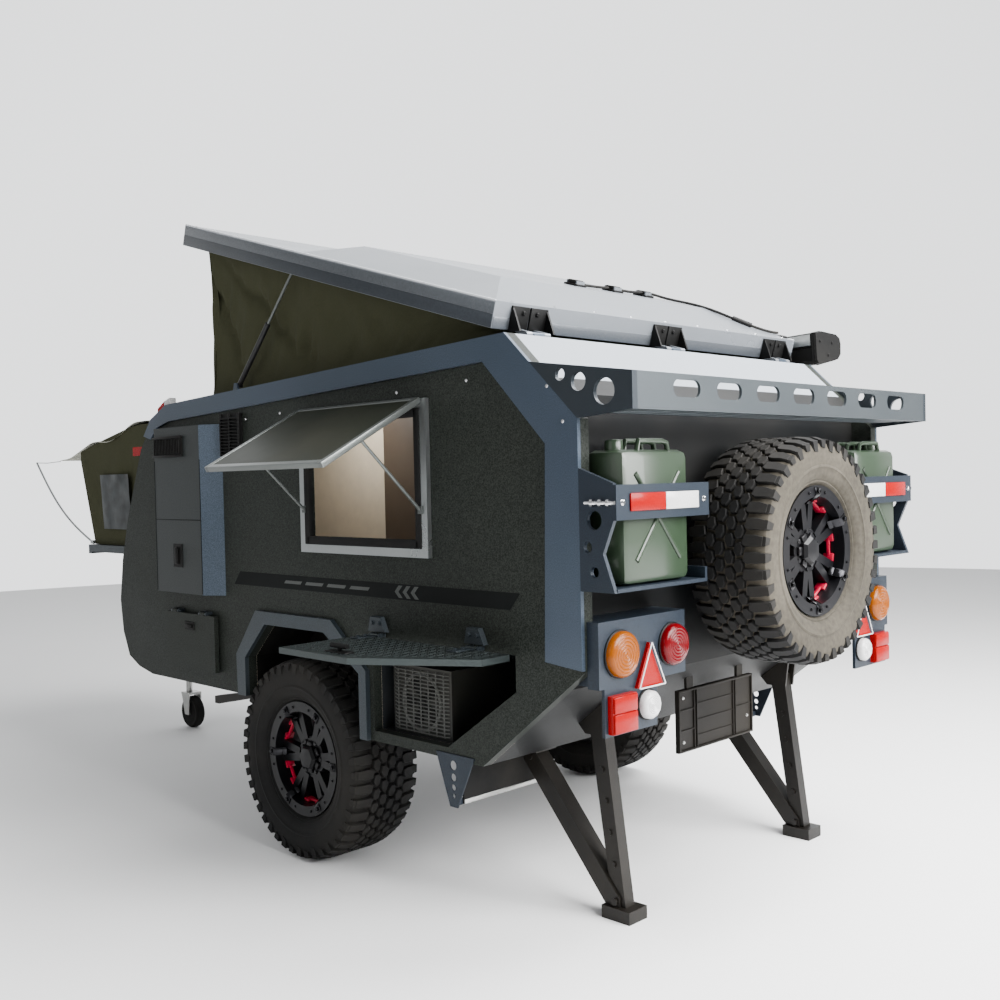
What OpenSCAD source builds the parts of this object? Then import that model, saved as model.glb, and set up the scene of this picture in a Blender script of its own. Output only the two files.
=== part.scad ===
// Off-road camper trailer, parked with its roof raised, side locker open and front bed folded out.
// Drawn in millimetres from the rear face at ground level, then moved so that the origin is the
// mouth of the coupling. +X is forward, +Y is left, +Z is up.

/* [Body] */
// Width over the side frames
body_w = 2000; // [1900:2100]
// Thickness of the side walls and rear shell
wall_t = 40; // [30:60]
// How far the side frames stand out from the walls
frame_t = 15; // [8:25]
// Height of the rear face's lower edge
rear_low_z = 940; // [900:980]
// Height of the rear face's upper edge
rear_high_z = 1747; // [1700:1800]
// Distance of the top rear edge from the rear face
top_x = 318; // [260:380]
// Height of the top rear edge
top_z = 2051; // [2000:2100]
// Distance of the top front edge
front_top_x = 2615; // [2560:2660]
// Height of the top front edge
front_top_z = 1950; // [1910:1990]
// Height of the sill ahead of the wheels
sill_z = 629; // [600:660]
// Height of the belly behind the wheels
belly_z = 560; // [530:580]
// Distance of the recessed rear wall
shell_x = 90; // [70:110]

/* [Wheels] */
// Distance of the axle from the rear face
axle_x = 1555; // [1540:1570]
// Tyre diameter out to the lug tips
tyre_d = 830; // [800:850]
// Tyre width
tyre_w = 316; // [290:330]
// Distance of a tyre's centre plane inside the side frame's face
tyre_in = 130; // [110:150]
// Rim diameter over the flanges
rim_d = 475; // [450:490]
// Spindle radius
spindle_r = 35; // [25:40]
// Number of lugs on each shoulder of a tyre
lugs = 24; // [18:30]
// Depth of the grooves between the lugs
lug_h = 15; // [10:18]
// Running clearance of pins and bearings
run_gap = 0.05; // [0.02:0.01:0.1]

/* [Roof] */
// Angle of the raised roof above level
roof_up = 16.7; // [14:0.1:19]
// Distance of the roof hinge
hinge_x = 350; // [340:370]
// Gap between the shut roof and the deck
roof_gap = 10; // [8:20]
// Length of the roof from its hinge
roof_len = 2200; // [2100:2220]
// Depth of the roof's skirt
skirt_h = 95; // [80:110]
// Rise of the roof's raised middle
hump_h = 70; // [50:90]
// Length of the roof to the front of its raised middle
hump_front = 1250; // [1150:1350]
// Distance of the roof's left edge inside the side frame's face
roof_in = 30; // [20:40]
// Gap between the right side frame and the awning case
awning_gap = 15; // [12:30]
// Length of the awning case
awning_len = 2200; // [1800:2300]

/* [Openings] */
// Rear edge of the window frame
win_x0 = 721; // [700:740]
// Front edge of the window frame
win_x1 = 1512; // [1490:1530]
// Lower edge of the window frame
win_z0 = 1279; // [1260:1300]
// Upper edge of the window frame
win_z1 = 1859; // [1840:1870]
// Angle of the open window sash from upright
sash_deg = 62; // [40:75]
// Thickness of the locker lids
lid_t = 22; // [16:25]
// Gap between a shut lid and the wall
lid_gap = 6; // [5.5:0.5:8]
// Rear edge of the entry door's opening
door_x0 = 2050; // [2040:2080]
// Front edge of the entry door's opening
door_x1 = 2640; // [2600:2650]
// Upper edge of the entry door's opening
door_top = 1846; // [1800:1850]
// Gap all round the entry door
door_gap = 6; // [5.5:0.5:10]

/* [Front] */
// Distance of the bed platform's hinge
bed_x = 3130; // [3120:3140]
// Height of the bed platform's hinge
bed_z = 1220; // [1215:1230]
// Front edge of the bed platform
bed_end = 3810; // [3760:3815]
// Gap between the bed platform's side and the inner face of the wall
bed_in = 95; // [90:120]
// Distance of the coupling's pin
hitch_x = 4760; // [4740:4800]
// Radius of the coupling's pin hole
pin_r = 20; // [15:25]
// Height of the underside of the frame rails
rail_z = 529; // [520:540]

/* [Hidden] */
$fn = 48;
half = body_w / 2;
wall_out = half - frame_t;
wall_in = wall_out - wall_t;
rail_h = sill_z - rail_z;
rail_w = 50;
floor_t = 40;
shell_t = wall_t;
tyre_r = tyre_d / 2;
track = body_w - 2 * tyre_in;
well_in = track / 2 - tyre_w / 2 - 40;
rail_y = well_in - 172;
roof_half = half - roof_in;
bed_half = wall_in - bed_in;
// Share of the usual half width
w1 = half / 1000;
axle_z = tyre_r;
rim_r = rim_d / 2;
deck_slope = (top_z - front_top_z) / (front_top_x - top_x);
deck_t = 35;
deck_half = half - 170;
hinge_z = top_z - (hinge_x - top_x) * deck_slope + roof_gap;
roof_x0 = 60;
roof_t = 25;
chamf_slope = (rear_low_z - belly_z) / 480;
shell_low_z = rear_low_z - chamf_slope * shell_x;
top_slope = (top_z - rear_high_z) / top_x;
shell_high_z = rear_high_z + top_slope * shell_x;
lid_axis_y = wall_out + lid_gap + lid_t + 2;
lid_axis_z = 975;
hatch_top = lid_axis_z - 8;
hinge_pin_r = 5;
locker_axis_z = 970;
door_axis_x = door_x1 - door_gap + 3;
door_axis_y = -wall_out - 12;
HATCH_HINGES = [491, 1030];
LOCKER_HINGES = [2290, 2540];
DOOR_HINGES = [850, 1680];
BED_HINGES = [250 - bed_half, 0, bed_half - 250];
hatch_x0 = 300;
hatch_x1 = 1092;
hatch_h = 380;
locker_y = rail_y + 35;
locker_t = 12;
locker_x0 = 2218;
locker_x1 = 2613;
locker_z0 = 724;
locker_z1 = 942;
jockey_x = 4254;
jockey_r = 100;
strut_x = 2095;
strut_lift = 35;
strut_up_x = 1350;
strut_y = roof_half - roof_t - 33;
roof_hinge_y = 800 * w1;
spare_x = -140;
spare_z = 1275;
rack_x = -223;
can_x = -140;
can_in = tyre_r + 95;

// Side outline of the body, rear lower corner first.
SIDE = [
  [0, rear_low_z],
  [0, rear_high_z],
  [top_x, top_z],
  [front_top_x, front_top_z],
  [2768, 1886],
  [2900, 1743],
  [3060, 1393],
  [3128, 1186],
  [3163, 978],
  [3140, 820],
  [3081, 700],
  [2980, 655],
  [2842, sill_z],
  [1960, sill_z],
  [1150, sill_z],
  [1150, belly_z],
  [480, belly_z]
];
// Wheel arch opening.
ARCH = [[1150, 400], [1150, 815], [1375, 957], [1800, 957], [1960, 800], [1960, 400]];
// Outer edge of the arch trim.
ARCH_TRIM = [[1105, belly_z], [1105, 830], [1325, 1012], [1869, 1012], [2030, 810], [2025, sill_z], [1960, sill_z],
  [1960, 800], [1800, 957], [1375, 957], [1150, 815], [1150, belly_z]];
// Side locker opening behind the wheel.
HATCH = [[1080, 600], [1080, 965], [310, 965], [310, 840], [660, 600]];

function deck_z(x) = top_z - (x - top_x) * deck_slope;
function chamf_z(x) = shell_low_z - chamf_slope * (x - shell_x);

module placed() {
  translate([-hitch_x, 0, -rail_z]) children();
}

// A side-view outline made solid between two distances from the middle.
module slab(y0, y1) {
  translate([0, y1, 0]) rotate([90, 0, 0]) linear_extrude(height = y1 - y0) children();
}

module box(x0, x1, y0, y1, z0, z1) {
  translate([x0, y0, z0]) cube([x1 - x0, y1 - y0, z1 - z0]);
}

module bar_y(x, z, y0, y1, r) {
  translate([x, y0, z]) rotate([-90, 0, 0]) cylinder(h = y1 - y0, r = r);
}

module bar_x(y, z, x0, x1, r) {
  translate([x0, y, z]) rotate([0, 90, 0]) cylinder(h = x1 - x0, r = r);
}

module both() {
  children();
  mirror([0, 1, 0]) children();
}

module at_roof() {
  translate([hinge_x, 0, hinge_z]) rotate([0, -roof_up, 0]) children();
}

// Frame and running gear

module floor_panel() {
  color("dimgray") {
    difference() {
      box(470, 2842, -wall_in, wall_in, sill_z, sill_z + floor_t);
      both() box(1125, 1985, well_in, half, sill_z - 1, sill_z + floor_t + 1);
      both() box(400, 1126, locker_y - 5, half, sill_z - 1, sill_z + floor_t + 1);
    }
    for (x = [700, 1240, 2120, 2780]) {
      box(x, x + 50, -rail_y + rail_w / 2, rail_y - rail_w / 2, rail_z + 20, sill_z + 1);
    }
  }
}

module rails() {
  color("black") both() box(580, 2950, rail_y - rail_w / 2, rail_y + rail_w / 2, rail_z, sill_z);
}

module drawbar() {
  reach = hitch_x - 170 - 2950;
  turn = atan2(rail_y - 85, reach);
  color("black") both() intersection() {
    translate([2950, rail_y, 0]) rotate([0, 0, -turn]) box(-60, 2000, -rail_w / 2, rail_w / 2, rail_z, sill_z);
    box(2950, hitch_x - 170, 0, 700, rail_z - 1, sill_z + 1);
  }
}

module coupling() {
  color("dimgray") difference() {
    union() {
      box(hitch_x - 170, hitch_x - 90, -125, 125, rail_z, sill_z);
      bar_x(0, rail_z + 50, hitch_x - 91, hitch_x - 30, 38);
      translate([hitch_x, 0, rail_z]) cylinder(h = rail_h, r = 58);
    }
    translate([hitch_x, 0, rail_z - 1]) cylinder(h = 61, r = pin_r);
  }
}

module trailing_arms() {
  color("black") both() {
    bar_y(axle_x, axle_z, well_in - 112, track / 2 - 5, spindle_r);
    slab(well_in - 112, well_in - 47) polygon([[1500, 370], [1610, 370], [2150, 520], [2150, 600], [2090, 600], [1500, 480]]);
    box(2070, 2190, rail_y + rail_w / 2, well_in - 112, rail_z + 5, sill_z - 5);
  }
}

module tyre_solid() {
  w = tyre_w / 2;
  b = rim_r - 21.5;
  difference() {
  rotate_extrude($fn = 96) polygon([
    [b, -w + 42], [rim_r + 2, -w + 42], [rim_r + 25, -w + 15], [tyre_r - 100, -w], [tyre_r - 40, -w + 4],
    [tyre_r - 10, -w + 18], [tyre_r, -w + 45], [tyre_r, w - 45], [tyre_r - 10, w - 18], [tyre_r - 40, w - 4],
    [tyre_r - 100, w], [rim_r + 25, w - 15], [rim_r + 2, w - 42], [b, w - 42], [b, w - 70],
    [rim_r + 10, w - 62], [tyre_r - 110, w - 30], [tyre_r - 50, w - 32], [tyre_r - 25, w - 60],
    [tyre_r - 25, -w + 60], [tyre_r - 50, -w + 32], [tyre_r - 110, -w + 30], [rim_r + 10, -w + 62], [b, -w + 70]
  ]);
    for (i = [1:lugs]) rotate([0, 0, i * 360 / lugs]) {
      for (s = [0, 1]) rotate([0, 0, s * 180 / lugs]) mirror([0, 0, s]) lug_groove(w);
      rotate([0, 0, 90 / lugs]) translate([tyre_r - lug_h, -8, -42]) cube([lug_h + 1, 16, 84]);
    }
  }
}

// Groove between two shoulder lugs, over the tread's edge and down the side wall.
module lug_groove(w) {
  translate([tyre_r - lug_h, -14, w - 95]) cube([lug_h + 1, 28, 96]);
  translate([tyre_r - 62, -14, w - 10]) cube([62, 28, 11]);
}

module rim_solid() {
  w = tyre_w / 2 - 41.7;
  b = rim_r - 22;
  hub_r = 85;
  rotate_extrude($fn = 96) polygon([
    [b - 20, -w - 12], [rim_r, -w - 12], [rim_r, -w], [b, -w], [b, w], [rim_r, w], [rim_r, w + 12], [b - 20, w + 12]
  ]);
  difference() {
    translate([0, 0, -70]) cylinder(h = 150, r = hub_r);
    translate([0, 0, -71]) cylinder(h = 131, r = spindle_r + run_gap);
  }
  for (i = [0:5]) rotate([0, 0, i * 60]) for (s = [-1, 1]) rotate([0, 0, s * 9]) {
    translate([hub_r - 8, -16, 50]) cube([b - 10 - hub_r, 32, 36]);
  }
}

module wheel_left() {
  translate([axle_x, track / 2, axle_z]) rotate([-90, 0, 0]) children();
}

module wheel_right() {
  translate([axle_x, -track / 2, axle_z]) rotate([90, 0, 0]) children();
}

module spare_place() {
  translate([spare_x, 0, spare_z]) rotate([0, -90, 0]) children();
}

module tyre_left() {
  color("#222") wheel_left() tyre_solid();
}

module rim_left() {
  color("#333") wheel_left() rim_solid();
}

module tyre_right() {
  color("#222") wheel_right() tyre_solid();
}

module rim_right() {
  color("#333") wheel_right() rim_solid();
}

module spare_tyre() {
  color("#222") spare_place() tyre_solid();
}

module spare_rim() {
  color("#333") spare_place() rim_solid();
}

module spare_carrier() {
  color("black") {
    bar_x(0, spare_z, spare_x + 70, shell_x - 12, 60);
    box(shell_x - 12, shell_x, -140, 140, spare_z - 140, spare_z + 140);
  }
}

module stabiliser_legs() {
  y0 = rail_y + 104;
  color("#3a332c") both() {
    slab(y0 - 25, y0 + 25) polygon([[232, 690], [298, 690], [205, 40], [145, 40]]);
    slab(y0 - 34, y0 + 34) polygon([[555, 529], [620, 529], [620, 500], [225, 40], [165, 40], [165, 75]]);
    slab(y0 - 50, y0 + 50) polygon([[110, 0], [235, 0], [235, 45], [110, 45]]);
    for (s = [-33, 24]) slab(y0 + s, y0 + s + 9) {
      polygon([[200, chamf_z(200)], [340, chamf_z(340)], [310, 640], [220, 640]]);
    }
    box(555, 620, rail_y + rail_w / 2, y0 + 34, 529, 555);
    slab(y0 - 25, y0 + 25) polygon([[2470, 560], [2540, 560], [2545, 520], [2865, 462], [2865, 425], [2825, 425], [2470, 500]]);
    box(2475, 2535, rail_y + rail_w / 2, y0 + 25, 535, 559);
  }
}

module jockey_post() {
  color("gray") {
    box(jockey_x - 60, jockey_x + 60, -200, 200, sill_z, sill_z + 12);
    translate([jockey_x, 0, 330]) cylinder(h = 440, r = 26);
    bar_x(0, 790, jockey_x - 20, jockey_x + 110, 9);
    translate([jockey_x, 0, 770]) cylinder(h = 30, r = 20);
    translate([jockey_x + 105, 0, 781]) cylinder(h = 90, r = 12);
  }
}

module jockey_fork() {
  color("gray") {
    translate([jockey_x, 0, 225]) cylinder(h = 104.5, r = 20);
    box(jockey_x - 70, jockey_x + 25, -45, 45, 213, 226);
    for (s = [-1, 1]) slab(s * 41 - 4, s * 41 + 4) {
      polygon([[jockey_x - 70, 214], [jockey_x + 20, 214], [jockey_x - 15, 85], [jockey_x - 65, 85]]);
    }
    bar_y(jockey_x - 40, jockey_r, -38, 38, 8);
  }
}

module jockey_wheel() {
  color("#222") translate([jockey_x - 40, 0, jockey_r]) rotate([90, 0, 0]) rotate_extrude($fn = 64) {
    polygon([[8 + run_gap, -30], [70, -26], [jockey_r - 8, -30], [jockey_r, -20], [jockey_r, 20], [jockey_r - 8, 30],
      [70, 26], [8 + run_gap, 30]]);
  }
}

// Body shell

module wall_left() {
  color("#2c3230") difference() {
    slab(wall_in, wall_out) polygon(SIDE);
    slab(wall_in - 1, half) polygon(ARCH);
    slab(wall_in - 1, half) polygon(HATCH);
    box(win_x0 + 20, win_x1 - 20, wall_in - 1, half, win_z0 + 20, win_z1 - 20);
    box(locker_x0, locker_x1, wall_in - 1, half, locker_z0, locker_z1);
  }
}

module wall_right() {
  color("#2c3230") mirror([0, 1, 0]) difference() {
    slab(wall_in, wall_out) polygon(SIDE);
    slab(wall_in - 1, half) polygon(ARCH);
    slab(wall_in - 1, half) polygon(HATCH);
    box(door_x0, door_x1, wall_in - 1, half, 690, door_top);
  }
}

module rear_shell() {
  in = shell_x + shell_t;
  lo = chamf_z(in) + shell_t * 1.276;
  hi = rear_high_z + top_slope * in - shell_t * 1.383;
  color("#40484c") slab(-wall_in, wall_in) polygon([
    [480, belly_z], [shell_x, shell_low_z], [shell_x, shell_high_z], [top_x, top_z],
    [top_x + 28, top_z - 29], [in, hi], [in, lo], [480 + shell_t * 1.61, belly_z]
  ]);
}

module nose_shell() {
  color("#343a3c") {
    slab(-wall_in, wall_in) polygon([
      [3128, 1186], [3163, 978], [3140, 820], [3081, 700], [2980, 655], [2842, sill_z], [2842, sill_z + 40],
      [2965, 694], [3052, 730], [3102, 832], [3122, 976], [3090, 1186]
    ]);
    both() slab(bed_half + 20, wall_in) polygon([
      [front_top_x, front_top_z], [2768, 1886], [2900, 1743], [3060, 1393], [3128, 1186],
      [3088, 1186], [3022, 1379], [2866, 1722], [2745, 1852], [front_top_x, front_top_z - 40]
    ]);
    slab(-wall_in, wall_in) polygon([
      [front_top_x, front_top_z], [2768, 1886], [2805, 1846], [2777, 1818], [2745, 1852], [front_top_x, front_top_z - 40]
    ]);
  }
}

module deck() {
  rear = [[top_x, top_z], [hinge_x + 70, deck_z(hinge_x + 70)], [hinge_x + 70, deck_z(hinge_x + 70) - deck_t],
    [top_x + 28 + deck_t - 29, top_z - 29 - (deck_t - 29)]];
  color("#40484c") {
    both() slab(deck_half, wall_in) polygon([
      [hinge_x + 60, deck_z(hinge_x + 60)], [front_top_x, front_top_z],
      [front_top_x, front_top_z - deck_t], [hinge_x + 60, deck_z(hinge_x + 60) - deck_t]
    ]);
    slab(-wall_in, wall_in) polygon(rear);
    slab(-wall_in, wall_in) polygon([
      [2290, deck_z(2290)], [front_top_x, front_top_z], [front_top_x, front_top_z - deck_t], [2290, deck_z(2290) - deck_t]
    ]);
    both() strut_foot(strut_y);
    roof_hinges();
  }
}

// Bracket and stud that stand beside a strut's lower eye.
module strut_foot(y) {
  z = deck_z(strut_x) + strut_lift;
  slab(y + 12.6, y + 22) polygon([
    [strut_x - 25, deck_z(strut_x - 25) - 5], [strut_x + 25, deck_z(strut_x + 25) - 5], [strut_x + 10, z + 10], [strut_x - 10, z + 10]
  ]);
}

module side_frames() {
  color("#7d8b96") both() slab(wall_out, half) polygon([
    [0, rear_low_z + 5], [0, rear_high_z], [top_x, top_z], [front_top_x, front_top_z], [2768, 1886], [2840, 1808],
    [2770, 1790], [2705, 1845], [front_top_x - 25, front_top_z - 80], [top_x + 107, top_z - 89],
    [140, rear_high_z - 75], [160, rear_low_z + 20]
  ]);
}

module arch_trims() {
  color("#6d7a84") both() slab(wall_out, half + 5) polygon(ARCH_TRIM);
}

module wheel_wells() {
  color("#1c1c1c") both() difference() {
    slab(well_in, wall_in) polygon([[1135, sill_z - 40], [1135, 825], [1370, 972], [1806, 972], [1975, 808], [1975, sill_z - 40]]);
    slab(well_in + 15, half) polygon([[1150, 400], [1150, 815], [1375, 957], [1800, 957], [1960, 800], [1960, 400]]);
  }
}

module locker_liners() {
  t = locker_t;
  color("#50555a") both() difference() {
    slab(locker_y, wall_in) polygon([
      [1080 + t, 600 - t], [1080 + t, 965 + t], [310 - t, 965 + t], [310 - t, 834], [655, 600 - t]
    ]);
    slab(locker_y + t, half) polygon(HATCH);
  }
}

module condenser() {
  color("silver") box(700, 1030, locker_y + 55, wall_in - 20, 600, 860);
}

module front_locker() {
  t = locker_t;
  color("#50555a") difference() {
    box(locker_x0 - t, locker_x1 + t, wall_in - 345, wall_in, locker_z0 - t, locker_z1 + t);
    box(locker_x0, locker_x1, wall_in - 345 + t, half, locker_z0, locker_z1);
  }
}

module cabinet() {
  color("#d8cfb8") {
    box(1260, 1975, well_in - 572, well_in - 72, sill_z + floor_t, 1850);
  }
}

// Side fittings

module window_frame() {
  color("silver") difference() {
    box(win_x0, win_x1, wall_out, half + 4, win_z0, win_z1);
    box(win_x0 + 40, win_x1 - 40, wall_out - 1, half + 5, win_z0 + 40, win_z1 - 40);
  }
}

module window_sash() {
  color("#3b3f3c") translate([0, half + 4, win_z1 - 14]) rotate([sash_deg, 0, 0]) {
    box(win_x0 + 20, win_x1 - 20, 0, 18, -495, 0);
  }
}

module window_stays() {
  reach = 300;
  y1 = half + 4 + reach * sin(sash_deg);
  z1 = win_z1 - 14 - reach * cos(sash_deg);
  drop = 250;
  run = y1 - half - 10;
  len = sqrt(run * run + drop * drop);
  color("gray") for (x = [win_x0 + 34, win_x1 - 34]) {
    translate([x, half + 10, z1 - drop]) rotate([-atan2(run, drop), 0, 0]) cylinder(h = len - 3, r = 6);
    box(x - 10, x + 10, half + 4, half + 12, z1 - drop - 14, z1 - drop + 14);
  }
}

module service_pod() {
  color("#333a38") translate([0, 0, 1060]) linear_extrude(height = 775) {
    polygon([[2135, wall_out], [2235, half + 45], [2650, half + 45], [2720, wall_out]]);
  }
}

module vents() {
  color("#1e2020") {
    box(2380, 2640, half + 45, half + 53, 1699, 1788);
    box(1960, 2115, wall_out, half, 1691, 1875);
  }
}

// Fixed half of a lid's hinge: two lugs on the wall that hold a pin along X.
module lid_lugs(x, z) {
  for (s = [-32, 22]) {
    box(x + s, x + s + 10, wall_out, lid_axis_y, z - 6, z + 9);
    bar_x(lid_axis_y, z, x + s, x + s + 10, hinge_pin_r + 2);
  }
  bar_x(lid_axis_y, z, x - 30, x + 30, hinge_pin_r);
}

// Moving half: a knuckle round the pin and a leaf on the lid.
module lid_knuckle(x, z) {
  difference() {
    union() {
      bar_x(lid_axis_y, z, x - 20, x + 20, 9);
      box(x - 20, x + 20, lid_axis_y - 10, lid_axis_y - 2, z - 40, z);
    }
    bar_x(lid_axis_y, z, x - 21, x + 21, hinge_pin_r + run_gap);
  }
}

module lid_left_closed() {
  y0 = wall_out + lid_gap;
  slab(y0, y0 + lid_t) polygon([
    [hatch_x1, hatch_top], [hatch_x1, hatch_top - hatch_h], [690, hatch_top - hatch_h], [hatch_x0, hatch_top - 130], [hatch_x0, hatch_top]
  ]);
  for (x = HATCH_HINGES) lid_knuckle(x, lid_axis_z);
}

module lid_hinges() {
  color("#6d7a84") {
    both() for (x = HATCH_HINGES) lid_lugs(x, lid_axis_z);
    for (x = LOCKER_HINGES) lid_lugs(x, locker_axis_z);
    for (z = DOOR_HINGES) door_lugs(z);
    for (y = BED_HINGES) bed_lugs(y);
  }
}

module door_lugs(z) {
  for (s = [-32, 22]) translate([0, 0, z + s]) linear_extrude(height = 10) polygon([
    [door_x1 + 2, -wall_out], [door_x1 + 22, -wall_out], [door_x1 + 22, door_axis_y - 7],
    [door_axis_x - 7, door_axis_y - 7], [door_axis_x - 7, door_axis_y + 5.5], [door_x1 + 2, door_axis_y + 5.5]
  ]);
  translate([door_axis_x, door_axis_y, z - 30]) cylinder(h = 60, r = hinge_pin_r);
}

module door_knuckle(z) {
  difference() {
    union() {
      translate([door_axis_x, door_axis_y, z - 20]) cylinder(h = 40, r = 8);
      box(door_axis_x - 60, door_axis_x, -wall_out - 8, -wall_out, z - 20, z + 20);
    }
    translate([door_axis_x, door_axis_y, z - 21]) cylinder(h = 42, r = hinge_pin_r + run_gap);
  }
}

module bed_lugs(y) {
  for (s = [-64, 52]) slab(y + s, y + s + 12) polygon([
    [3092, 1186], [3127, 1186], [bed_x + 11, bed_z - 8], [bed_x + 11, bed_z + 10], [bed_x - 11, bed_z + 10]
  ]);
  bar_y(bed_x, bed_z, y - 60, y + 60, 6);
}

module hatch_left() {
  color("#2e3436") translate([0, lid_axis_y, lid_axis_z]) rotate([90, 0, 0]) translate([0, -lid_axis_y, -lid_axis_z]) {
    lid_left_closed();
  }
}

module hatch_right() {
  color("#2e3436") mirror([0, 1, 0]) lid_left_closed();
}

module entry_door() {
  color("#2c3230") for (z = DOOR_HINGES) door_knuckle(z);
  color("#2c3230") difference() {
    box(door_x0 + door_gap, door_x1 - door_gap, -wall_out, -wall_in, 690 + door_gap, door_top - door_gap);
    box(door_x0 + 130, door_x1 - 130, -half, -wall_in + 1, 1330, 1740);
  }
}

module locker_door() {
  y0 = wall_out + lid_gap;
  color("#2e3436") {
    box(locker_x0 - 20, locker_x1 + 20, y0, y0 + lid_t, locker_z0 - 20, locker_z1 + 20);
    for (x = LOCKER_HINGES) lid_knuckle(x, locker_axis_z);
  }
}

module mud_flaps() {
  color("#1a1a1a") both() box(625, 633, rail_y + 60, wall_in - 2, 392, 588);
}

module flap_gussets() {
  color("#777d80") both() {
    difference() {
      slab(wall_out, wall_out + 5) polygon([[520, 580], [720, 580], [650, 390], [610, 390]]);
      for (h = [[630, 540, 17], [630, 497, 14], [630, 460, 11], [630, 430, 8]]) {
        bar_y(h[0], h[1], wall_out - 1, wall_out + 6, h[2]);
      }
    }
    box(633, 641, rail_y + 60, wall_out + 5, 390, 412);
  }
}

// Rear fittings

module rear_rack() {
  color("#5d6770") {
    difference() {
      box(rack_x, rack_x + 10, -wall_out, wall_out, 1764, 1881);
      for (i = [-3:3]) hull() for (s = [-45, 45]) bar_x(i * 240 * w1 + s, 1835, rack_x - 1, rack_x + 11, 28);
    }
    both() difference() {
      slab(wall_out, half) polygon([[0, rear_high_z], [205, rear_high_z + 205 * top_slope], [rack_x, 1881], [rack_x, 1764]]);
      bar_y(69, 1890, wall_out - 1, half + 1, 20);
      bar_y(-8, 1862, wall_out - 1, half + 1, 30);
      bar_y(-112, 1825, wall_out - 1, half + 1, 42);
    }
    for (x = [-180, -125, -70, -15]) box(x - 12, x + 12, -wall_out, wall_out, 1766, 1776);
  }
}

module can_holders() {
  color("#4c545a") both() {
    difference() {
      slab(wall_out, half) polygon([[0, 1200], [0, 1590], [can_x, 1540], [can_x, 1425], [can_x + 45, 1320], [can_x, 1200]]);
      for (h = [[-62, 1425, 30], [-34, 1340, 17], [-60, 1262, 17]]) bar_y(h[0], h[1], wall_out - 1, half + 1, h[2]);
    }
    box(can_x, 0, can_in, wall_out + 1, 1200, 1212);
    box(-1, shell_x, can_in, wall_in, 1200, 1212);
    box(can_x, shell_x, can_in, can_in + 12, 1211, 1250);
  }
}

module jerry_cans() {
  color("#2f4a33") both() {
    box(can_x + 20, can_x + 185, can_in + 65, half - 75, 1212, 1650);
    box(can_x + 45, can_x + 160, can_in + 90, half - 100, 1650, 1683);
  }
}

module can_bars() {
  color("#30353a") both() box(can_x - 12, can_x, can_in, half, 1425, 1535);
}

module light_boxes() {
  color("#40484c") both() {
    box(-48, 0, 517 * w1, half - 25, 886, 1100);
    box(-1, shell_x, 517 * w1, wall_in, 886, 1100);
    box(-48, -36, 680 * w1, 950 * w1, 730, 887);
  }
}

module amber_lamps() {
  color("orange") both() bar_x(872 * w1, 990, -64, -48, 72);
}

module red_lamps() {
  color("red") both() {
    bar_x(595 * w1, 990, -64, -48, 67);
    translate([-60, 0, 0]) rotate([90, 0, 90]) linear_extrude(height = 12) polygon([[660 * w1, 868], [798 * w1, 868], [729 * w1, 1012]]);
    box(-70, -48, 815 * w1, 935 * w1, 740, 862);
    slab(wall_out - 38, wall_out) polygon([[2885, 1759.25], [2900, 1743], [2912.8, 1715], [2985, 1715], [2985, 1759.25]]);
    slab(wall_out - 35, wall_out) polygon([[2650, 1935.36], [2720, 1906.08], [2716, 1938], [2650, 1970]]);
  }
}

module white_lamps() {
  color("white") both() {
    bar_x(735 * w1, 807, -70, -48, 45);
    slab(wall_out - 35, wall_out) polygon([[2600, 1950.66], [front_top_x, front_top_z], [2650, 1935.36], [2650, 1970], [2600, 1984]]);
  }
}

module plate_holder() {
  color("#222") {
    box(185, 197, -250, 250, 511, 748);
    both() slab(150, 190) polygon([[185, 740], [197, 740], [197, chamf_z(197)], [185, chamf_z(185)]]);
  }
}

// Roof

module roof_hinges() {
  for (i = [-1:1]) {
    y = i * roof_hinge_y;
    slab(y - 30, y + 30) polygon([
      [top_x + 6, deck_z(top_x + 6)], [hinge_x, deck_z(hinge_x) - 3], [hinge_x, hinge_z], [hinge_x - 8, hinge_z]
    ]);
    bar_y(hinge_x, hinge_z, y - 30, y + 30, 9);
  }
}

module roof_lid() {
  x1 = roof_len;
  t = roof_t;
  color("#8d99a3") at_roof() {
    difference() {
      union() {
        box(roof_x0, x1, -roof_half, roof_half, 0, skirt_h);
        hull() {
          box(roof_x0, hump_front, -roof_half, roof_half, skirt_h - 1, skirt_h);
          box(roof_x0 + 270, hump_front - 80, -roof_half + 380, roof_half - 265, skirt_h, skirt_h + hump_h);
        }
      }
      box(roof_x0 + t, x1 - t, -roof_half + t, roof_half - t, -1, skirt_h - t);
      hull() {
        box(roof_x0 + t, hump_front - t, -roof_half + t, roof_half - t, skirt_h - t - 1.01, skirt_h - t);
        box(roof_x0 + 270, hump_front - 80, -roof_half + 380, roof_half - 265, skirt_h - t, skirt_h + hump_h - t);
      }
    }
    for (i = [-1:1]) {
      y = i * roof_hinge_y;
      for (s = [31, -60]) {
        bar_y(0, 0, y + s, y + s + 29, 9);
        box(0, roof_x0 + 1, y + s, y + s + 29, -3, 9);
      }
    }
    both() bar_y(strut_up_x, 35, strut_y + 7.5, roof_half - t + 1, 5);
    for (y = [20, -230, -450]) box(520, 580, y, y + 50, skirt_h + hump_h - 1, skirt_h + hump_h + 22);
  }
}

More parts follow.
